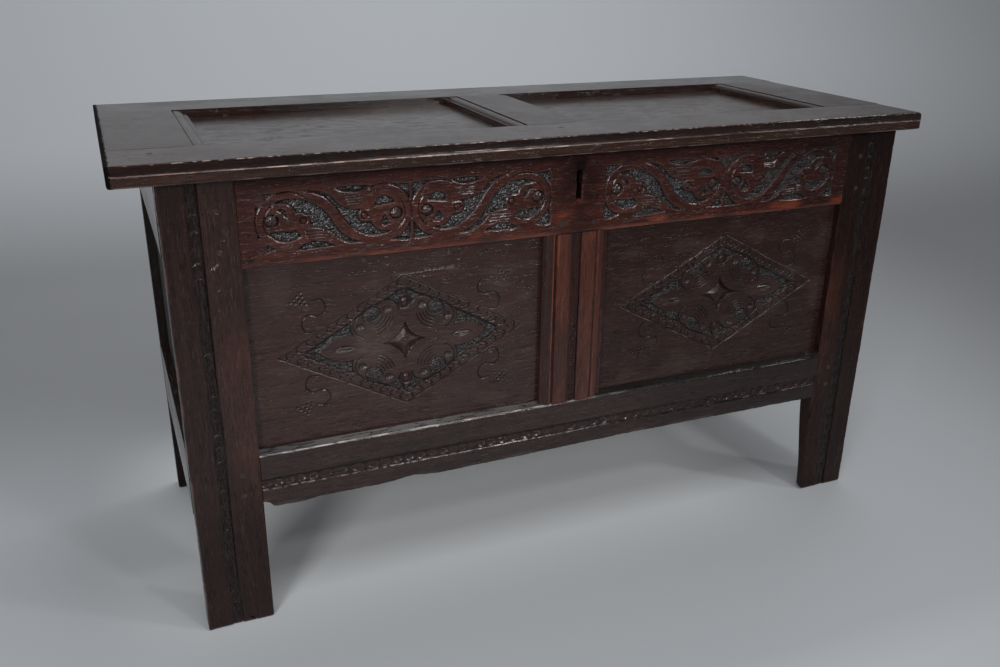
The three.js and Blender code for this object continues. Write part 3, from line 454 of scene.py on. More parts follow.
scroll_pockets = [
    outline([(32, 69.5), (45, 71), (60, 69), (76, 61.5), (89, 50.5), (98, 39), (105, 27), (114, 16.5),
             (126, 8), (141, 2.5)],
            [(127, 3), (115, 6.5), (106, 12), (99, 19.5), (91, 25), (80, 28.5), (68, 30)],
            [(70, 38), (68, 46), (61, 50), (51.5, 50.5)],
            [(48, 58), (42, 63.5), (33, 65), (22, 66)]),
    outline([(80, 78.5), (91, 74.5), (100, 67.5), (107, 59), (115, 53.5), (127, 50), (140, 48.5),
             (151, 47.5)],
            [(143, 48), (137, 45.5), (135, 39.5), (137.5, 33), (144, 30.5), (151, 31)],
            [(155, 25), (161, 18.5), (170, 15), (184, 15.5)],
            [(171, 10.8), (157, 10), (143, 13), (131, 20), (121, 29), (112, 40.5), (105, 50.5), (97, 61),
             (88, 70.5), (78, 76), (66, 79)]),
    outline(arc(scroll_one, 28.5, 214, 306), [(51, 27), (44, 25.5), (33, 27), (19, 27.5)]),
    outline([(160.5, 58), (166, 63), (173, 64), (181, 60.5), (187, 53.5)],
            [(177, 52.5), (168, 51.5), (159, 50.5)]),
    outline([(166, 27), (171, 22.5), (181, 24)], [(176, 29), (173, 36), (170, 38)]),
    outline([(58, 6.5), (68, 10), (78, 10.3), (90, 7.3), (104, 1.5)],
            [(88, 0.5), (74, 0), (60, -0.5), (50, 1)]),
    outline([(114, 75), (127, 72.2), (140, 73), (154, 78.5)], [(140, 79.8), (122, 80), (105, 79.5)]),
    outline(arc(scroll_two, scroll_radius, 78, 12), [(208, 62), (207.5, 79)], [(193, 79.5), (178, 79.5)]),
    outline(arc(scroll_two, scroll_radius, -12, -78), [(193, 1), (207.5, 1)], [(208, 16), (208.5, 32)]),
    outline(arc(scroll_one, scroll_radius, 158, 112), [(12, 79.5), (2, 79.5)], [(0.5, 70), (2, 56)]),
    outline(arc(scroll_one, scroll_radius, 202, 248), [(12, 0.5), (1, 1)], [(0, 10), (2, 25)]),
    outline([(33, 58.5), (39, 54.5), (41, 45)], [(36, 49), (33, 54), (27, 57)]),
]
scroll_bosses = [(20.5, 43, 9.7), (187.5, 38.5, 9.7)]
scroll_eyes = [(60.5, 40), (143.5, 39.5)]
scroll_rims = [arc(scroll_one, 40.3, 150, 212), arc(scroll_one, 29.5, 128, 216),
               arc(scroll_two, 40, -16, 16), arc(scroll_two, 29.5, -52, 38),
               arc(scroll_one, 39.5, 40, 108), arc(scroll_two, 39.5, 80, 118)]
scroll_veins = [((118 + k, 68 - 3.4 * k), (143 - k, 68 - 3.3 * k)) for k in range(4)]
scroll_veins += [((62 + k, 24 - 3.8 * k), (93 + 2 * k, 23.5 - 4 * k)) for k in range(4)]


def scroll_unit(a, b):
    """Depth, sunk ground and dark lines of one scroll, the lines being painted shade in its cuts and round
    its pockets: pockets down to the ground, domed bosses in round pits with five shallow flutes, ringed
    eyes, short veins, and a cut round each band."""
    pocket = most(*(inside(a, b, shape) for shape in scroll_pockets))
    sunk = step(0.0, 1.5, pocket)
    depth = ground_depth * sunk + 0.9 * step(-2.2, 0.2, pocket) * (1 - sunk)
    lines = step(-0.3, 0.5, pocket) * step(2.4, 1.3, pocket)
    for x, z, radius in scroll_bosses:
        reach, turn = np.hypot(a - x, b - z), np.arctan2(b - z, a - x)
        dome = 1 - np.clip(reach / (radius - 1.6), 0, 1) ** 2
        pit = step(radius, radius - 1.3, reach)
        flutes = 0.5 * np.cos(5 * turn + 1.2).clip(0) * step(1.5, 5, reach)
        depth = most(depth, pit * (4.2 - 3.9 * np.sqrt(dome) + flutes))
        sunk = most(sunk, 0.5 * pit)
        lines = most(lines, pit * step(radius - 2.6, radius - 1.4, reach))
    for x, z in scroll_eyes:
        reach = np.hypot(a - x, b - z)
        ring = step(1.1, 0.3, np.abs(reach - 4.4))
        depth = most(depth, 2.2 * ring)
        lines = most(lines, 0.8 * ring)
    cuts = [(path, 1.3, 1.3) for path in scroll_veins] + [(path, 1.4, 2.0) for path in scroll_rims]
    for path, half_width, deep in cuts:
        cut = stroke(a, b, path, half_width, deep)
        depth, lines = most(depth, cut), most(lines, 0.8 * step(0.3, 0.8, cut / deep))
    return depth, sunk, lines


low, high = span("front_top_rail", 2)
left, right = span("front_left_stile", 0)[1] + 0.3, span("front_right_stile", 0)[0] - 0.3
rail_thickness = span("front_top_rail", 1)[1]
field_base = low + 17
unit_spans = (118, 327.5), (537, 327.5), (625, 837.5), (1050, 837.5)
along = places(left, right, unit_spans[0][0] - 4, unit_spans[-1][0] + 4, 1.0)
across = places(low, high, field_base - 3, field_base + unit_height + 3, 0.95)
X, Z = np.meshgrid(along, across, indexing="ij")
depth, sunk, lines = np.zeros((3, *X.shape))
for seed, (start, end) in enumerate(unit_spans):
    a = (X - start) * unit_width / (end - start) + 1.1 * clouds(X, Z, 31, 20 + seed)
    b = Z - field_base + 0.9 * clouds(X, Z, 27, 30 + seed)
    faint = 1 - 0.75 * step(16, 11, a) * step(19, 23, np.abs(b - 41)) * (seed == 0)
    cut, matted, scored = (field * faint for field in scroll_unit(a, b))
    depth, sunk, lines = most(depth, cut), most(sunk, matted), most(lines, scored)
depth += sunk * (0.45 * clouds(X, Z, 2.6, 41) + 0.3 * clouds(X, Z, 9, 42))
keyhole_at, keyhole_base, keyhole_top, keyhole_half = 582.3, 600.8, 643.0, 3.4
from_key = X - keyhole_at
dent, palm = (582, 650), (556, 574)
wider = 0.8 * step(622, 630, Z)
slot = keyhole_half + wider - np.hypot(from_key, (Z - (keyhole_top - keyhole_half)).clip(0))
slot = np.minimum(slot, Z - keyhole_base)
chipped = step(6.5, 0, -slot) * (0.55 + 0.45 * clouds(X, Z, 5, 44))
depth = most(depth, 1.5 * chipped.clip(0) + 0.4 * step(10, 4, np.hypot(X - dent[0], Z - dent[1])))
depth = np.where(slot > 0, rail_thickness - 2, depth)
edge = np.minimum(Z - low, high - Z)
depth += rounding(edge, 1.6) + 0.3 + 0.3 * clouds(X, Z, 70, 45) + 0.14 * clouds(X, Z * 5, 26, 46)
rub_and_glint = 0.75 * step(5.5, 0.5, Z - low) * step(-0.5, 0.6, clouds(X, Z, 40, 47))
rub_and_glint += 0.5 * step(0.35, 0.8, clouds(X, Z * 3, 60, 48)) * step(22, 8, Z - low)
hand_wear_and_glint = np.exp(-((X - palm[0]) / 24) ** 2 - ((Z - palm[1]) / 13) ** 2)
rub_and_glint += 0.36 * hand_wear_and_glint * (0.6 + 0.6 * clouds(X, Z * 4, 20, 39)).clip(0)
rub_and_glint += 0.4 * step(1.7, 0.4, np.abs(Z - keyhole_base + 1.0)) * step(4.5, 3.2, np.abs(from_key))
beside_key = step(1.5, 0.5, np.abs(from_key - keyhole_half - 2.2)) * step(598, 602, Z)
rub_and_glint += 0.35 * beside_key * step(641, 636, Z) * step(-0.3, 0.5, clouds(X, Z, 4, 38))
rub_and_glint *= 1 - sunk
# The keyhole and a thin rim round it are painted black, as the shade inside the hole.
keyhole_shade = np.where(slot > -0.6, 1.2, 0.0)
# Painted shadow of the lid's overhang along the top of the rail.
lid_shadow = 0.6 * step(high - 22, high - 8, Z + 5 * clouds(X, Z, 40, 49))
over_key = 0.95 * step(15, 6, np.hypot(from_key - 1, (Z - keyhole_top - 5) * 0.7))
# Painted shade toward the rail's ends, most at the right, with a little random tone.
ends_shade = most(0.6 * step(620, 1060, X), 0.3 * step(150, 100, X)) + 0.1 * clouds(X, Z, 60, 43)
round_key = (0.55 + 0.2 * step(580, 615, Z)) * np.exp(-(from_key / 42) ** 2)
round_key = round_key * (0.85 + 0.3 * clouds(X, Z, 14, 37))
# Stains over and round the keyhole, with painted shade under the lid, at the ends, in the keyhole and in the
# cut lines.
stain_and_shade = most(lid_shadow, over_key, ends_shade, round_key, keyhole_shade, lines * 0.85)
wood = oak("frieze_oak", 0, (0.02, 0.0056, 0.0042), (0.07, 0.016, 0.0086), worn=(0.16, 0.03, 0.01),
           roughness=0.19, glints_and_wax=0.25, relief=0.75)
frieze = board("frieze_rail", wood, along, Z, depth.clip(0), rail_thickness,
               sunk=sunk.clip(0, 1) * (keyhole_shade == 0), grime=stain_and_shade, worn=rub_and_glint.clip(0, 1))
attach(frieze, "carcase")
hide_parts("front_top_rail")

# Bottom rail: tenoned between the stiles, with a splayed upper edge for the panels to sit behind, a
# gouged channel like the stiles', and an underside that was left rough and has since been chipped.
low, high = span("front_bottom_rail", 2)
arris, splay_depth = 272.4, 9.8
splay_stop, splay_run = 1065, 16
along = np.linspace(left, right, int((right - left) / plank_step))
share = np.linspace(0, 1, int((high - low) / plank_step))
chip_places = 95, 98, 104, 109, 112, 158, 178, 262, 290, 308, 323, 338, 358, 390, 570, 680, 1075
chip_heights = 8.5, 8, 5.5, -0.5, -2, -2.5, 0, 0, 1, 3.5, 4.5, 2, 0, 0, 2, 4, 2.3
underside = np.interp(along, chip_places, chip_heights) + low
underside += 0.35 * clouds(along, 0, 7, 50) + 0.4 * clouds(along, 0, 24, 51)
Z = underside[:, None] + (high - underside[:, None]) * share
X = np.broadcast_to(along[:, None], Z.shape)
splay = np.clip((Z - arris + 1.5) / (high - arris + 1.5), 0, 1) ** 1.15 * splay_depth
splay = splay * step(splay_stop, splay_stop - splay_run, X)
channel_middle, half = 227.5, 8.0
offset = Z - channel_middle
in_channel = step(half + 0.5, half - 0.6, np.abs(offset))
scoop_pitch, scoop_reach, scoop_rise = 18.6, 9.2, 7.8
phase = X / scoop_pitch + 0.5 * clouds(X, 0, 90, 52)
number = np.floor(phase).astype(int)
middle = (phase - number - 0.5) * scoop_pitch
chance = np.random.default_rng(53).uniform(0, 1, 400)[number % 400]
oval = np.clip(1 - (middle / scoop_reach) ** 2 - ((offset - 0.3) / scoop_rise) ** 2, 0, 1)
scoops = step(0, 0.75, oval) * (offset / half + 1.3).clip(0) * (1.1 + 1.1 * chance)
depth = in_channel * (0.35 + scoops) + 1.1 * step(1.3, 0.3, np.abs(offset + half))
depth += splay + rounding(Z - underside[:, None], 2.0)
depth += 0.8 * step(1.6, 0, np.abs(Z - arris)) * clouds(X, Z, 4, 54).clip(0)
depth += 0.3 + 0.3 * clouds(X, Z, 60, 55) + 0.12 * clouds(X, Z * 5, 24, 56)
# The pale lines along the splay's arris and the channel's lower edge are painted highlights with some wear;
# they fade out toward the right.
fading = step(780, 480, X)
rub_and_glint = step(1.0, 0.3, np.abs(Z - arris)) * (0.3 + 0.7 * step(-0.4, 0.3, clouds(X, Z, 12, 57))) * fading
rub_and_glint += step(9, 0, Z - underside[:, None]) * step(-0.2, 0.7, clouds(X, Z, 34, 58)) * 0.07
rub_and_glint += step(0.85, 0.3, np.abs(offset + half + 0.9)) * step(-0.3, 0.2, clouds(X, Z, 4, 59)) * 0.45 * fading
# Painted shade, darkening colour and taking away reflection: in the scoops and the channel's upper part,
in_scoops = in_channel * most(0.4 * step(0.35, 0.0, oval), 0.7 * step(2.5, 6.0, offset))
# across the right half, on the splay, on its arris toward the right, and in the quirk at the right.
on_splay = np.interp(X, (100, 200, 300, 520, 620, 1050), (0.75, 0.5, 0.45, 0.5, 0.88, 0.78))
on_splay = on_splay * step(arris, arris + 1.2, Z)
on_arris = 0.85 * step(2.0, 1.0, np.abs(Z - arris)) * step(560, 680, X)
in_quirk = 0.8 * step(2.2, 1.2, np.abs(offset + half + 0.6)) * step(400, 800, X)
painted_rail_shade = most(in_scoops, 0.45 * step(520, 1000, X), on_splay, on_arris, in_quirk)
# Its pale grey wear colour paints those highlights on the arrises.
wood = oak("bottom_rail_oak", 0, (0.013, 0.0065, 0.0057), (0.036, 0.0175, 0.0138),
           worn=(0.36, 0.32, 0.32), roughness=0.22, shift=(3, 1, 2))
bottom_rail = board("bottom_rail", wood, along, Z, depth.clip(0), rail_thickness,
                    sunk=0 * X, grime=painted_rail_shade, worn=rub_and_glint.clip(0, 1))
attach(bottom_rail, "carcase")
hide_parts("front_bottom_rail")

# Middle muntin: a moulded upright tenoned into both rails. A scratch stock ran the quirk and ovolo
# down both its edges, and its lower shoulder is scribed over the bottom rail's splay.
left_edge, right_edge = span("front_muntin", 0)
muntin_thickness = span("front_muntin", 1)[1]
moulding_width = 21.0
flat_left, flat_right = left_edge + moulding_width, right_edge - moulding_width
shoulder_low, shoulder_high = arris + 0.3, span("front_top_rail", 2)[0] - 0.3
splay_rise = span("front_bottom_rail", 2)[1] - arris


def moulding(run):
    """Depth of the run moulding by the distance out from the flat: a sunk quirk, a small fillet, a
    quarter-round falling away from it, and a lower fillet."""
    quirk = 2.2 * step(0, 0.5, run) * step(3.0, 2.4, run)
    turn = np.clip((run - 7.0) / 9.0, 0, 0.999)
    return quirk + np.where(run > 2.4, 0.9, 0) + 3.7 * (1 - np.sqrt(1 - turn ** 2))


def scribed(run, deep):
    """Height in a muntin whose lower end follows the splay, from the height in a square-ended one."""
    share = (run - shoulder_low) / (shoulder_high - shoulder_low)
    return run + (1 - share) * splay_rise * np.clip(deep / splay_depth, 0, 1)


up = np.linspace(shoulder_low, shoulder_high, 200)
Z, X = np.meshgrid(up, np.linspace(left_edge, right_edge, 140), indexing="ij")
run = most(flat_left - X, X - flat_right)
offset = X - (flat_left + flat_right) / 2 + 0.7 * clouds(Z, 0, 120, 60)
half, ring_pitch = 7.5, 17
in_channel = step(half + 0.7, half - 0.7, np.abs(offset))
quirk = step(1.1, 0.2, np.abs(offset - half))
rings = np.hypot((Z / ring_pitch - np.floor(Z / ring_pitch) - 0.5) * ring_pitch, offset * 1.2)
ringed = step(1.3, 0.4, np.abs(rings - 4.2)) * step(-0.3, 0.0, clouds(Z, 0, 50, 61))
depth = moulding(run) + in_channel * (1.2 + ringed) + 1.6 * quirk
depth += 0.25 + 0.25 * clouds(X, Z, 60, 62) + 0.12 * clouds(X * 5, Z, 26, 63)
on_flat, on_right = run < 0, X > flat_right
on_fillet = step(1.5, 0.4, np.abs(run - 5.0)) * (0.55 + 0.4 * clouds(X, Z, 50, 64))
beside_channel = (0.12 + 0.14 * (offset > 0)) * step(half + 0.5, half + 2.5, np.abs(offset)) * on_flat
rub_and_glint = on_fillet * np.where(on_right, 0.5, 0.85) + beside_channel * (0.5 + 0.5 * step(290, 460, Z))
rub_and_glint += 0.18 * on_right * step(2.5, 4, run) * step(15, 11, run)
rub_and_glint += 0.4 * step(3.5, 0.5, np.abs(run + 2)) * step(-0.3, 0.6, clouds(X, Z, 40, 65))
rub_and_glint += 0.2 * on_flat * step(0.1, 0.7, clouds(X * 3, Z, 70, 66))
# Painted shade in the channel, the quirks and the outer round of the mouldings.
painted_groove_shade = 0.35 * in_channel + 0.8 * quirk
painted_groove_shade += 0.1 * step(9, 12, run) + 0.4 * step(0, 0.5, run) * step(3.2, 2.2, run)
wood = oak("muntin_oak", 2, (0.015, 0.0052, 0.004), (0.045, 0.0125, 0.008), worn=(0.12, 0.028, 0.012),
           roughness=0.26, shift=(1, 2, 5), gloss=0.45)
muntin = board("middle_muntin", wood, up, X, depth.clip(0), muntin_thickness, standing=True, fitted=scribed,
               sunk=0 * X, grime=painted_groove_shade.clip(0, 1), worn=(rub_and_glint * (1 - in_channel)).clip(0, 1))
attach(muntin, "carcase")
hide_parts("front_muntin")

# Carved panels: wide oak boards in grooves of the frame. Each has a lozenge set out with incised
# lines, a star cut down at its edges that rises almost to the face at its middle, four seed-heads in
# petals, and tendrils in the corners.
star_wide, star_high = 41, 35
outer_wide, outer_high, inner_wide, inner_high = 183, 99, 150, 82
lunette_pitch, head_at, ring_height = 14, (48, 46), 59
petal_rim = [(8, 50), (11, 58), (18, 64), (28, 67), (42, 62), (57, 55), (69, 45), (75, 33), (72, 22),
             (62, 14)]
ground_pockets = [
    outline([(73, 42), (100, 27), (147, 1)],
            [(127, 0), (121, 5), (108, 13), (96, 17.5), (84, 19), (74, 18.5)],
            [(78, 26), (78, 35), (74, 41)]),
    outline([(2, 80), (12, 75), (24, 68.5), (33, 64)], [(22, 64), (13, 58), (8, 48)],
            [(9, 56), (8, 64), (3, 70)]),
]
tendril = [(132, 78), (120, 79), (113, 70), (116, 60), (126, 56), (137, 58.5), (146, 52), (147, 42),
           (141, 33), (129, 34)]
panel_cuts = [(curve_through(petal_rim, np.linspace(0, 1, 5)), 1.7),
              (curve_through(tendril, np.linspace(0, 1, 7)), 1.6)]
panel_cuts += [(arc(head_at, radius, 192, 256, 10), 1.4) for radius in (16.5, 21.5, 26.5, 31.5)]


def beyond(x, z, wide, high):
    """Distance outside a lozenge with the given half width and half height."""
    return (x / wide + z / high - 1) / math.hypot(1 / wide, 1 / high)


def lozenge(a, b):
    """Depth, sunk ground, dark lines and a pale rim of the panel's carving, alike in its four quarters:
    the dark lines are painted shade in its cuts and hollows, and the rim is a painted highlight beside
    the outer line. Lines are Vs, hollows half ellipses, and the star is a pyramid: cut down at its
    concave edges, it rises away from them."""
    x, z = np.abs(a), np.abs(b)
    outer, inner = beyond(x, z, outer_wide, outer_high), beyond(x, z, inner_wide, inner_high)
    phase = (z / outer_high - x / outer_wide) / math.hypot(1 / outer_high, 1 / outer_wide) / lunette_pitch
    ahead_of = (phase - np.floor(phase) - 0.5) * lunette_pitch
    in_band = -outer - 8.5
    lunette = step(1.3, 0.4, np.abs(np.hypot(ahead_of, in_band) - 5.6)) * step(2.5, 1.0, ahead_of)
    dot = step(1.9, 0.8, np.hypot(ahead_of - 1.5, in_band - 0.5))
    framed = step(0.3, 1.5, -outer) * step(0.0, 1.5, inner)
    lines = most(np.clip(1 - np.abs(outer) / 1.3, 0, 1), np.clip(1 - np.abs(inner) / 1.2, 0, 1),
                 framed * most(0.8 * lunette, dot),
                 *(stroke(x, z, path, half_width, 1.0) for path, half_width in panel_cuts))
    pocket = most(*(inside(x, z, shape) for shape in ground_pockets))
    sunk, edged = step(0, 1.4, pocket), step(-0.5, 0.4, pocket) * step(2.2, 1.2, pocket)
    depth = most(1.3 * lines, 3.2 * sunk)
    from_head, over_head = x - head_at[0], z - head_at[1]
    head = np.hypot((from_head * 0.87 - over_head * 0.5) / 14, (from_head * 0.5 + over_head * 0.87) / 11.5)
    depth = most(depth, step(1, 0.88, head) * (4.0 - 3.4 * np.sqrt(1 - np.clip(head, 0, 1) ** 2)))
    sunk = most(sunk, 0.85 * step(1, 0.9, head))
    edged = most(edged, step(0.1, 0.03, np.abs(head - 0.97)))
    for middle, wide, high in (((26, 53), 6.5, 5.2), ((65, 31), 6.0, 4.8)):
        hollow = 1 - np.hypot((x - middle[0]) / wide, (z - middle[1]) / high) ** 2
        depth = most(depth, 3.0 * np.sqrt(np.clip(hollow, 0, 1)))
        sunk = most(sunk, 0.45 * step(0, 0.3, hollow))
        edged = most(edged, 0.7 * step(0, 0.2, hollow) * step(0.7, 0.3, hollow))
    ring = np.hypot(x / 11, (z - ring_height) / 10)
    almond = np.hypot(x / 3.4, (z - ring_height) / 5.4)
    moat = step(1.0, 0.86, ring) * step(0.9, 1.25, almond)
    depth = most(depth, 2.2 * moat)
    edged = most(edged, 0.6 * moat)
    lens = 5.6 * (1 - ((x - 88) / 18) ** 2) - z
    depth = most(depth, 3.2 * np.clip(lens / 2.4, 0, 1) * (0.3 + 0.7 * np.clip(z / 2.4, 0, 1)))
    edged = most(edged, 0.8 * step(-0.4, 0.3, lens) * step(1.6, 0.8, lens))
    reach = np.hypot(x / star_wide - 1, z / star_high - 1)
    edge = np.where((x < star_wide) & (z < star_high), (reach - 1) * star_high, -1)
    star = most(5.6 * step(0, 1.1, edge) - 0.56 * np.clip(edge, 0, None), 0.2)
    centre_gap = np.hypot(x, z)
    star = star + 0.8 * step(4.0, 2.6, centre_gap) * step(1.4, 2.4, centre_gap)
    depth = np.where(edge > 0, star, depth)
    edged = most(edged, 0.7 * step(-0.3, 0.2, edge) * step(1.4, 0.8, edge))
    for row in range(4):
        for place in range(4 - row):
            at = (140 + 7.2 * place + 2.4 * row, 74 + 5.8 * row + 1.6 * place)
            punched = step(2.0, 0.9, np.hypot(x - at[0], z - at[1]))
            depth, edged = most(depth, 1.8 * punched), most(edged, 0.9 * punched)
    rim = step(0.8, 0.2, np.abs(outer - 1.4))
    return depth, sunk, most(step(0.1, 0.6, lines), edged), rim


panel_face, panel_back = span("front_left_panel", 1)
low, high = span("front_bottom_rail", 2)[1], span("front_top_rail", 2)[0]
hidden, carved_wide, carved_high = 1.2, outer_wide + 4, outer_high + 4
pale_at, score_height, nicked = (-52, 4), 514.5, (384, 535)
muntin_left, muntin_right = span("front_muntin", 0)
# The right panel's finish is a darker copy of the left's: painted shade on the chest's right side.
for side, seed, left, right, (star_x, star_z), gloss, shade, rim_glint in (
        ("left", 70, span("front_left_stile", 0)[1], muntin_left, (317.0, 412.0), 0.5, 0.92, 0.25),
        ("right", 80, muntin_right, span("front_right_stile", 0)[0], (856.3, 416.3), 0.3, 0.67, 0.4)):
    along = places(left - hidden, right + hidden, star_x - carved_wide, star_x + carved_wide, 0.95)
    across = places(low - hidden, high + hidden, star_z - carved_high, star_z + carved_high, 0.95)
    X, Z = np.meshgrid(along, across, indexing="ij")
    a = X - star_x + 1.2 * clouds(X, Z, 37, seed)
    b = Z - star_z + 1.0 * clouds(X, Z, 33, seed + 1)
    cut, sunk, lines, rim = lozenge(a, b)
    depth = panel_face + cut + sunk * (0.4 * clouds(X, Z, 2.4, seed + 2) + 0.25 * clouds(X, Z, 8, seed + 3))
    depth += 0.15 + 0.35 * clouds(X, Z, 90, seed + 4).clip(0) + 0.1 * clouds(X, Z * 5, 22, seed + 5).clip(0)
    rub_and_glint = 0.04 * step(0.2, 0.8, clouds(X, Z * 2, 46, seed + 6)) * (1 - sunk)
    # A pale line beside the outer cut, painted as a highlight.
    rub_and_glint += rim_glint * rim * step(-0.5, 0.5, clouds(X, Z, 9, seed + 7))
    if side == "left":
        pale = np.exp(-((a - pale_at[0]) / 46) ** 2 - ((b - pale_at[1]) / 34) ** 2) * (1 - sunk)
        rub_and_glint += 0.12 * pale * (0.7 + 0.5 * clouds(X, Z, 17, 79))
        from_score = Z - score_height - 1.5 * clouds(X, 0, 40, 77)
        score = step(1.1, 0.4, np.abs(from_score)) * step(290, 315, X) * step(415, 385, X)
        nicks = np.exp(-((X - nicked[0]) / 11) ** 2 - ((Z - nicked[1]) / 6) ** 2)
        score = most(score, nicks * step(0.1, 0.5, clouds(X, Z, 1.7, 76)))
        depth += 0.7 * score
        rub_and_glint += 0.32 * score * step(-0.4, 0.4, clouds(X, Z, 2.5, 78))
    wood = oak(f"{side}_panel_oak", 0, (0.024, 0.0102, 0.0083), (0.042, 0.018, 0.0143), shade=shade,
               worn=(0.2, 0.16, 0.145), roughness=0.25, glints_and_wax=0.15, shift=(seed, 4, 1), gloss=gloss)
    # The dark lines in the cuts and hollows are painted shade.
    panel = board(f"{side}_carved_panel", wood, along, Z, depth, panel_back,
                  sunk=sunk.clip(0, 1), grime=lines * 0.8, worn=rub_and_glint.clip(0, 1))
    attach(panel, "carcase")
    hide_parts(f"front_{side}_panel")

# Drawbore pegs: riven oak pins driven through rail and tenon and pared off just proud of the face.
sides = "left", "right"
pegs = [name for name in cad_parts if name.startswith("peg_")]
lid_pegs = [name for name in pegs if name.startswith("peg_lid")]


def finish(names, material):
    """Gives these pieces of the solid model their material."""
    for name in names:
        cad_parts[name].material_slots[0].material = material


finish([name for name in pegs if name not in lid_pegs],
       oak("peg_oak", 1, (0.018, 0.009, 0.007), (0.05, 0.024, 0.018), roughness=0.3))

# Ends: a rail at the top, a rail at the bottom and one plain panel between them, as dark as the
# stiles they are tenoned into. The two rear stiles, seen behind the end, are painted darker still,
# as painted shade.
finish([f"{side}_end_{part}" for side in sides for part in ("top_rail", "bottom_rail")],
       oak("end_rail_oak", 1, (0.012, 0.006, 0.005), (0.034, 0.0165, 0.0125), roughness=0.16, gloss=0.35,
           shift=(4, 1, 3)))
finish([f"{side}_end_panel" for side in sides],
       oak("end_panel_oak", 1, (0.01, 0.0055, 0.0045), (0.024, 0.012, 0.0095), roughness=0.45, gloss=0.1,
           shift=(6, 1, 3)))
finish([f"back_{side}_stile" for side in sides],
       oak("back_stile_shaded_oak", 2, (0.005, 0.0032, 0.0028), (0.013, 0.008, 0.0064), roughness=0.4, gloss=0.15,
           shift=(9, 1, 4)))

# Back: framed like the front but plain, and left dry and brown because it stood to a wall.
for name, along_axis in (("back_muntin", 2), ("back_top_rail", 0), ("back_bottom_rail", 0),
                         ("back_left_panel", 0), ("back_right_panel", 0)):
    finish([name], oak(f"{name}_oak", along_axis, (0.03, 0.0195, 0.014), (0.078, 0.05, 0.035),
                       roughness=0.62, shift=(len(name), 2, along_axis)))

# Floor boards: five short boards laid from front to back, never finished.
finish([f"floor_board_{number}" for number in range(1, 6)],
       oak("floor_oak", 1, (0.07, 0.05, 0.036), (0.17, 0.122, 0.085), roughness=0.7, shift=(2, 6, 1)))

# Lid front rail: the long rail that the hand finds, with a quirk and cove run along its edge and a
# fascia below. A pale line runs along its proud arris, partly wear and partly a painted highlight,
# most to the left of the middle; the cove is darkened as painted shade; and its ends are rounded by
# wear.
lid_left, lid_right = span("lid_front_rail", 0)
lid_front, lid_rail_back = span("lid_front_rail", 1)
lid_base, lid_top = span("lid_front_rail", 2)
end_reach, edge_rise, lid_end = 12, 13.9, -0.6236
along = np.concatenate([np.linspace(lid_left, lid_left + end_reach, 16)[:-1],
                        np.arange(lid_left + end_reach, lid_right - end_reach, 1.9),
                        np.linspace(lid_right - end_reach, lid_right, 16)])
turn = np.linspace(0, math.pi / 2, 9)
cove = np.stack([2.6 - 1.6 * (1 - np.cos(turn)), 25.7 - 11.5 * np.sin(turn)], axis=-1)
run_back = lid_rail_back - lid_front
top_line = np.stack([np.linspace(run_back, 3.6, 34), np.full(34, 27.2)], axis=-1)
edge_line = np.array([(3.4, 26.8), (3.3, 26.2), (3.1, 25.8)])
fascia = np.array([(0.5, edge_rise), (0.15, 13.6), (0.0, 13.0), (0, 11.5), (0, 9.5), (0, 7.5), (0, 5.5),
                   (0, 3.5), (0, 2.2), (0.25, 1.2), (0.9, 0.4), (2.0, 0.0), (4, 0), (8, 0)])
underside = np.array([(run_back * 0.5, 0), (run_back, 0)])
profile = np.vstack([top_line, edge_line, cove, fascia, underside])
X = np.broadcast_to(along[:, None], (len(along), len(profile)))
run_in, rise = (np.broadcast_to(profile[:, k], X.shape) for k in (0, 1))
on_edge = step(6, 3, run_in) * (rise > 0.1)
on_arris = step(0.75, 0.2, np.abs(rise - edge_rise)) * (run_in < 1.2)
nick = clouds(X, 0, 9, 90).clip(0) * 0.5 + clouds(X, 0, 2.6, 91).clip(0) * 0.4
Y = lid_front + run_in + on_edge * (0.35 + 0.35 * clouds(X, rise, 70, 92)) + on_arris * nick
top_nick = step(5, 3.3, run_in) * (rise > 25)
Zl = lid_base + rise - top_nick * (0.2 + 0.5 * clouds(X, 0, 11, 93).clip(0))
Zl = np.where(rise > 27, Zl - 0.15 - 0.2 * clouds(X, run_in, 60, 94).clip(0), Zl)
end_right, end_left = rounding(lid_right - X, 8.0), rounding(X - lid_left, 4.0)
Zl = np.minimum(Zl, lid_top - end_right - end_left * 0.6)
Zl = most(Zl, lid_base + np.minimum(end_right * 0.6 + end_left, 12))
Y = most(Y, lid_front + np.minimum(end_right * 0.5 + end_left * 0.5, 6))
# The pale line on the arris is wear and a painted highlight, fading out to the right and near the left end.
hand_wear_and_glint = (1 - 0.75 * step(520, 800, X)) * (0.45 + 0.55 * step(40, 200, X))
rub_and_glint = on_arris * (0.3 + 0.7 * step(-0.2, 0.6, clouds(X, 0, 14, 95))) * hand_wear_and_glint
rub_and_glint += 0.5 * step(0.1, 0.6, clouds(X, 0, 5, 96)) * (run_in < 3.5) * (rise > 25.9)
rub_and_glint += 0.3 * step(1.2, 0.4, np.abs(rise - 0.4)) * (run_in < 2) * step(-0.2, 0.6, clouds(X, 0, 20, 97))
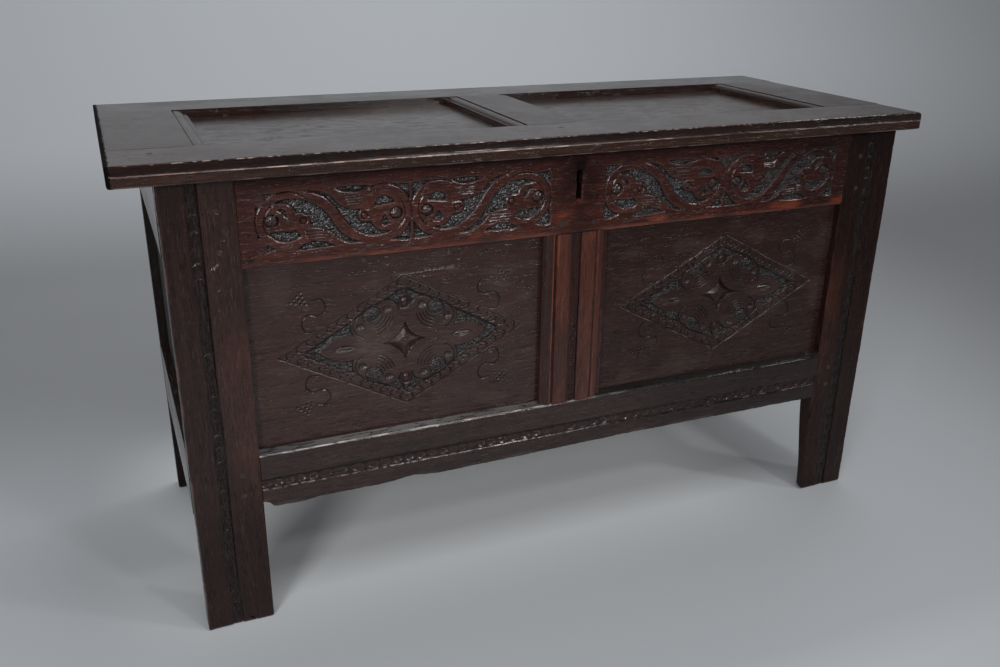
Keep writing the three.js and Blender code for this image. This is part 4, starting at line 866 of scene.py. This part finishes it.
# Painted shade in the cove, a little on the fascia, and on the arris toward the right, taking away its
# reflection.
in_cove = 0.7 * step(14.4, 15.5, rise) * step(26.6, 26.0, rise) * (run_in < 3.6)
at_arris = 0.55 * step(3.0, 1.5, np.abs(rise - edge_rise)) * (run_in < 1.5) * step(520, 800, X)
shaded = most(in_cove + 0.1 * (run_in < 0.2), at_arris)
wood = oak("lid_rail_oak", 0, (0.015, 0.0075, 0.0055), (0.05, 0.0215, 0.0135), worn=(0.4, 0.28, 0.23),
           roughness=0.2, gloss=0.45, shift=(7, 3, 1), end_at=lid_end)
lid_rail = skin("lid_front_moulded_rail", wood, np.stack([X, Y, Zl], axis=-1), crease=40,
                sunk=0 * X, grime=shaded * (1 - rub_and_glint.clip(0, 1)), worn=rub_and_glint.clip(0, 1))
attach(lid_rail, "lid")
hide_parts("lid_front_rail")

# Rest of the lid: a back rail, two end stiles and a muntin with run mouldings, and two plain panels
# sunk between them. The top is waxed and has dulled to an even brown.
finish(["lid_back_rail"],
       oak("lid_back_oak", 0, (0.008, 0.0035, 0.0026), (0.027, 0.0098, 0.006), roughness=0.2, gloss=0.46,
           shift=(7, 5, 1), end_at=lid_end))
finish(["lid_left_stile", "lid_muntin", "lid_right_stile", *lid_pegs],
       oak("lid_stile_oak", 1, (0.015, 0.008, 0.006), (0.045, 0.022, 0.015), roughness=0.2, gloss=0.2,
           shift=(1, 8, 2), end_at=lid_end))
finish(["lid_left_panel", "lid_right_panel"],
       oak("lid_panel_oak", 0, (0.016, 0.0085, 0.0065), (0.045, 0.021, 0.015), roughness=0.17,
           shift=(5, 2, 9)))

# Ironwork: two pairs of linked snipe hinges, the lock with its bolt, and the staple that it shoots
# through. All are forged, dark and lightly rusted.
iron, tree, shader = new_material("forged_iron")
place = node(tree, "TexCoord").outputs["Object"]
scale_marks = noise(tree, place, 60.0, 5.0)
rust = noise(tree, place, 150.0, 4.0)
metal = mixed(ramped(scale_marks, 0.4, 0.65), (0.03, 0.028, 0.028, 1), (0.07, 0.065, 0.062, 1))
metal = mixed(ramped(rust, 0.52, 0.66, 0, 0.8), metal, (0.075, 0.03, 0.015, 1))
tree.links.new(metal, shader["Base Color"])
shader["Metallic"].default_value = 0.6
tree.links.new(ramped(rust, 0.4, 0.65, 0.38, 0.75), shader["Roughness"])
tree.links.new(node(tree, "Bump", Height=scale_marks, Strength=0.4, Distance=0.0008).outputs[0],
               shader["Normal"])
finish([f"hinge_{body}_eye_{side}" for body in ("lid", "carcase") for side in sides], iron)
finish(["lock_case", "lock_bolt", "lid_staple"], iron)

# Stage: a pale grey sweep of paper that curves up behind the chest, with a painted pool of light
# under the chest and painted shade behind it, far in front of it and toward its right side. Lamps
# light it from the left, the right and overhead, a small one gives the glints, one lights the
# backdrop, and the surround is even and pale.
paper, tree, shader = new_material("sweep_paper")
over = node(tree, "SeparateXYZ", I0=node(tree, "TexCoord").outputs["Object"]).outputs
to_right, to_back = over[0], over[1]
# Painted shade on the floor behind the chest, far in front of it, and toward its right.
behind = minus(ramped(to_back, 0.1, 0.85, 0.0, 0.38), ramped(to_back, 1.5, 2.6, 0.0, 0.4))
beside = ramped(minus(to_right, times(to_back, 0.2)), 0.4, 1.9, 0.0, 0.58)
beside = times(beside, ramped(to_back, 1.0, 2.8, 1.0, 0.0))
before = ramped(to_back, -1.5, -0.85, 1.0, 0.0)
before = times(before, ramped(to_right, 0.2, 1.0, 0.45, 0.9))
# Painted pool of light on the floor under the chest.
under = ramped(to_back, -0.36, -0.06, 0.0, 1.0)
under = times(under, ramped(to_back, 0.25, 0.5, 1.0, 0.0))
under = times(under, ramped(to_right, 0.28, 0.55, 1.0, 0.0))
under = times(under, ramped(to_right, -0.75, -0.5, 0.0, 1.0))
shade = larger(before, larger(behind, beside))
shade = times(shade, minus(1.0, under))
ground = mixed(under, (0.31, 0.322, 0.338, 1), (0.465, 0.482, 0.495, 1))
tree.links.new(mixed(shade, ground, (0, 0, 0, 1)), shader["Base Color"])
shader["Roughness"].default_value = 0.9
wide, nearest, bend_at, bend_radius, tallest = 6.0, -4.0, 1.6, 1.6, 4.0
turn = np.linspace(0, math.pi / 2, 24)
line = [(nearest, 0.0), *zip(bend_at + bend_radius * np.sin(turn), bend_radius * (1 - np.cos(turn))),
        (bend_at + bend_radius, tallest)]
sweep = bpy.data.meshes.new("sweep")
sweep.from_pydata([(x, y, z) for y, z in line for x in (-wide, wide)], [],
                  [(2 * k, 2 * k + 1, 2 * k + 3, 2 * k + 2) for k in range(len(line) - 1)])
sweep.polygons.foreach_set("use_smooth", np.ones(len(line) - 1, bool))
sweep.materials.append(paper)
floor = added("sweep", sweep)
for name, place, aim, size, power in (
        ("left_lamp", (-2.35, -2.85, 1.5), (0, 0, 0.4), (0.9, 0.9), 89),
        ("right_lamp", (3.2, -2.7, 2.7), (0, 0, 0.4), (0.35, 0.35), 36),
        ("overhead_lamp", (-0.1, -1.25, 2.6), (-0.1, -0.5, 0), (2.4, 1.0), 30),
        ("glint_lamp", (0.9, -2.8, 1.55), (0, 0, 0.5), (0.3, 0.3), 20),
        ("backdrop_lamp", (1.0, 1.2, 3.4), (1.0, 3.0, 1.2), (3.8, 0.8), 92)):
    lamp = bpy.data.lights.new(name, "AREA")
    lamp.shape = "RECTANGLE"
    lamp.size, lamp.size_y = size
    lamp.energy = power
    holder = added(name, lamp)
    away = np.array(place, float) - aim
    away /= np.linalg.norm(away)
    beside = np.cross([0, 0, 1], away)
    beside /= np.linalg.norm(beside)
    holder.matrix_world = placed(beside, np.cross(away, beside), away, place)
surround = bpy.data.worlds.new("surround")
surround.use_nodes = True
sky = surround.node_tree.nodes["Background"].inputs
sky["Color"].default_value = (0.86, 0.88, 0.92, 1)
sky["Strength"].default_value = 0.2
bpy.context.scene.world = surround
bpy.context.scene.view_settings.view_transform = "Standard"
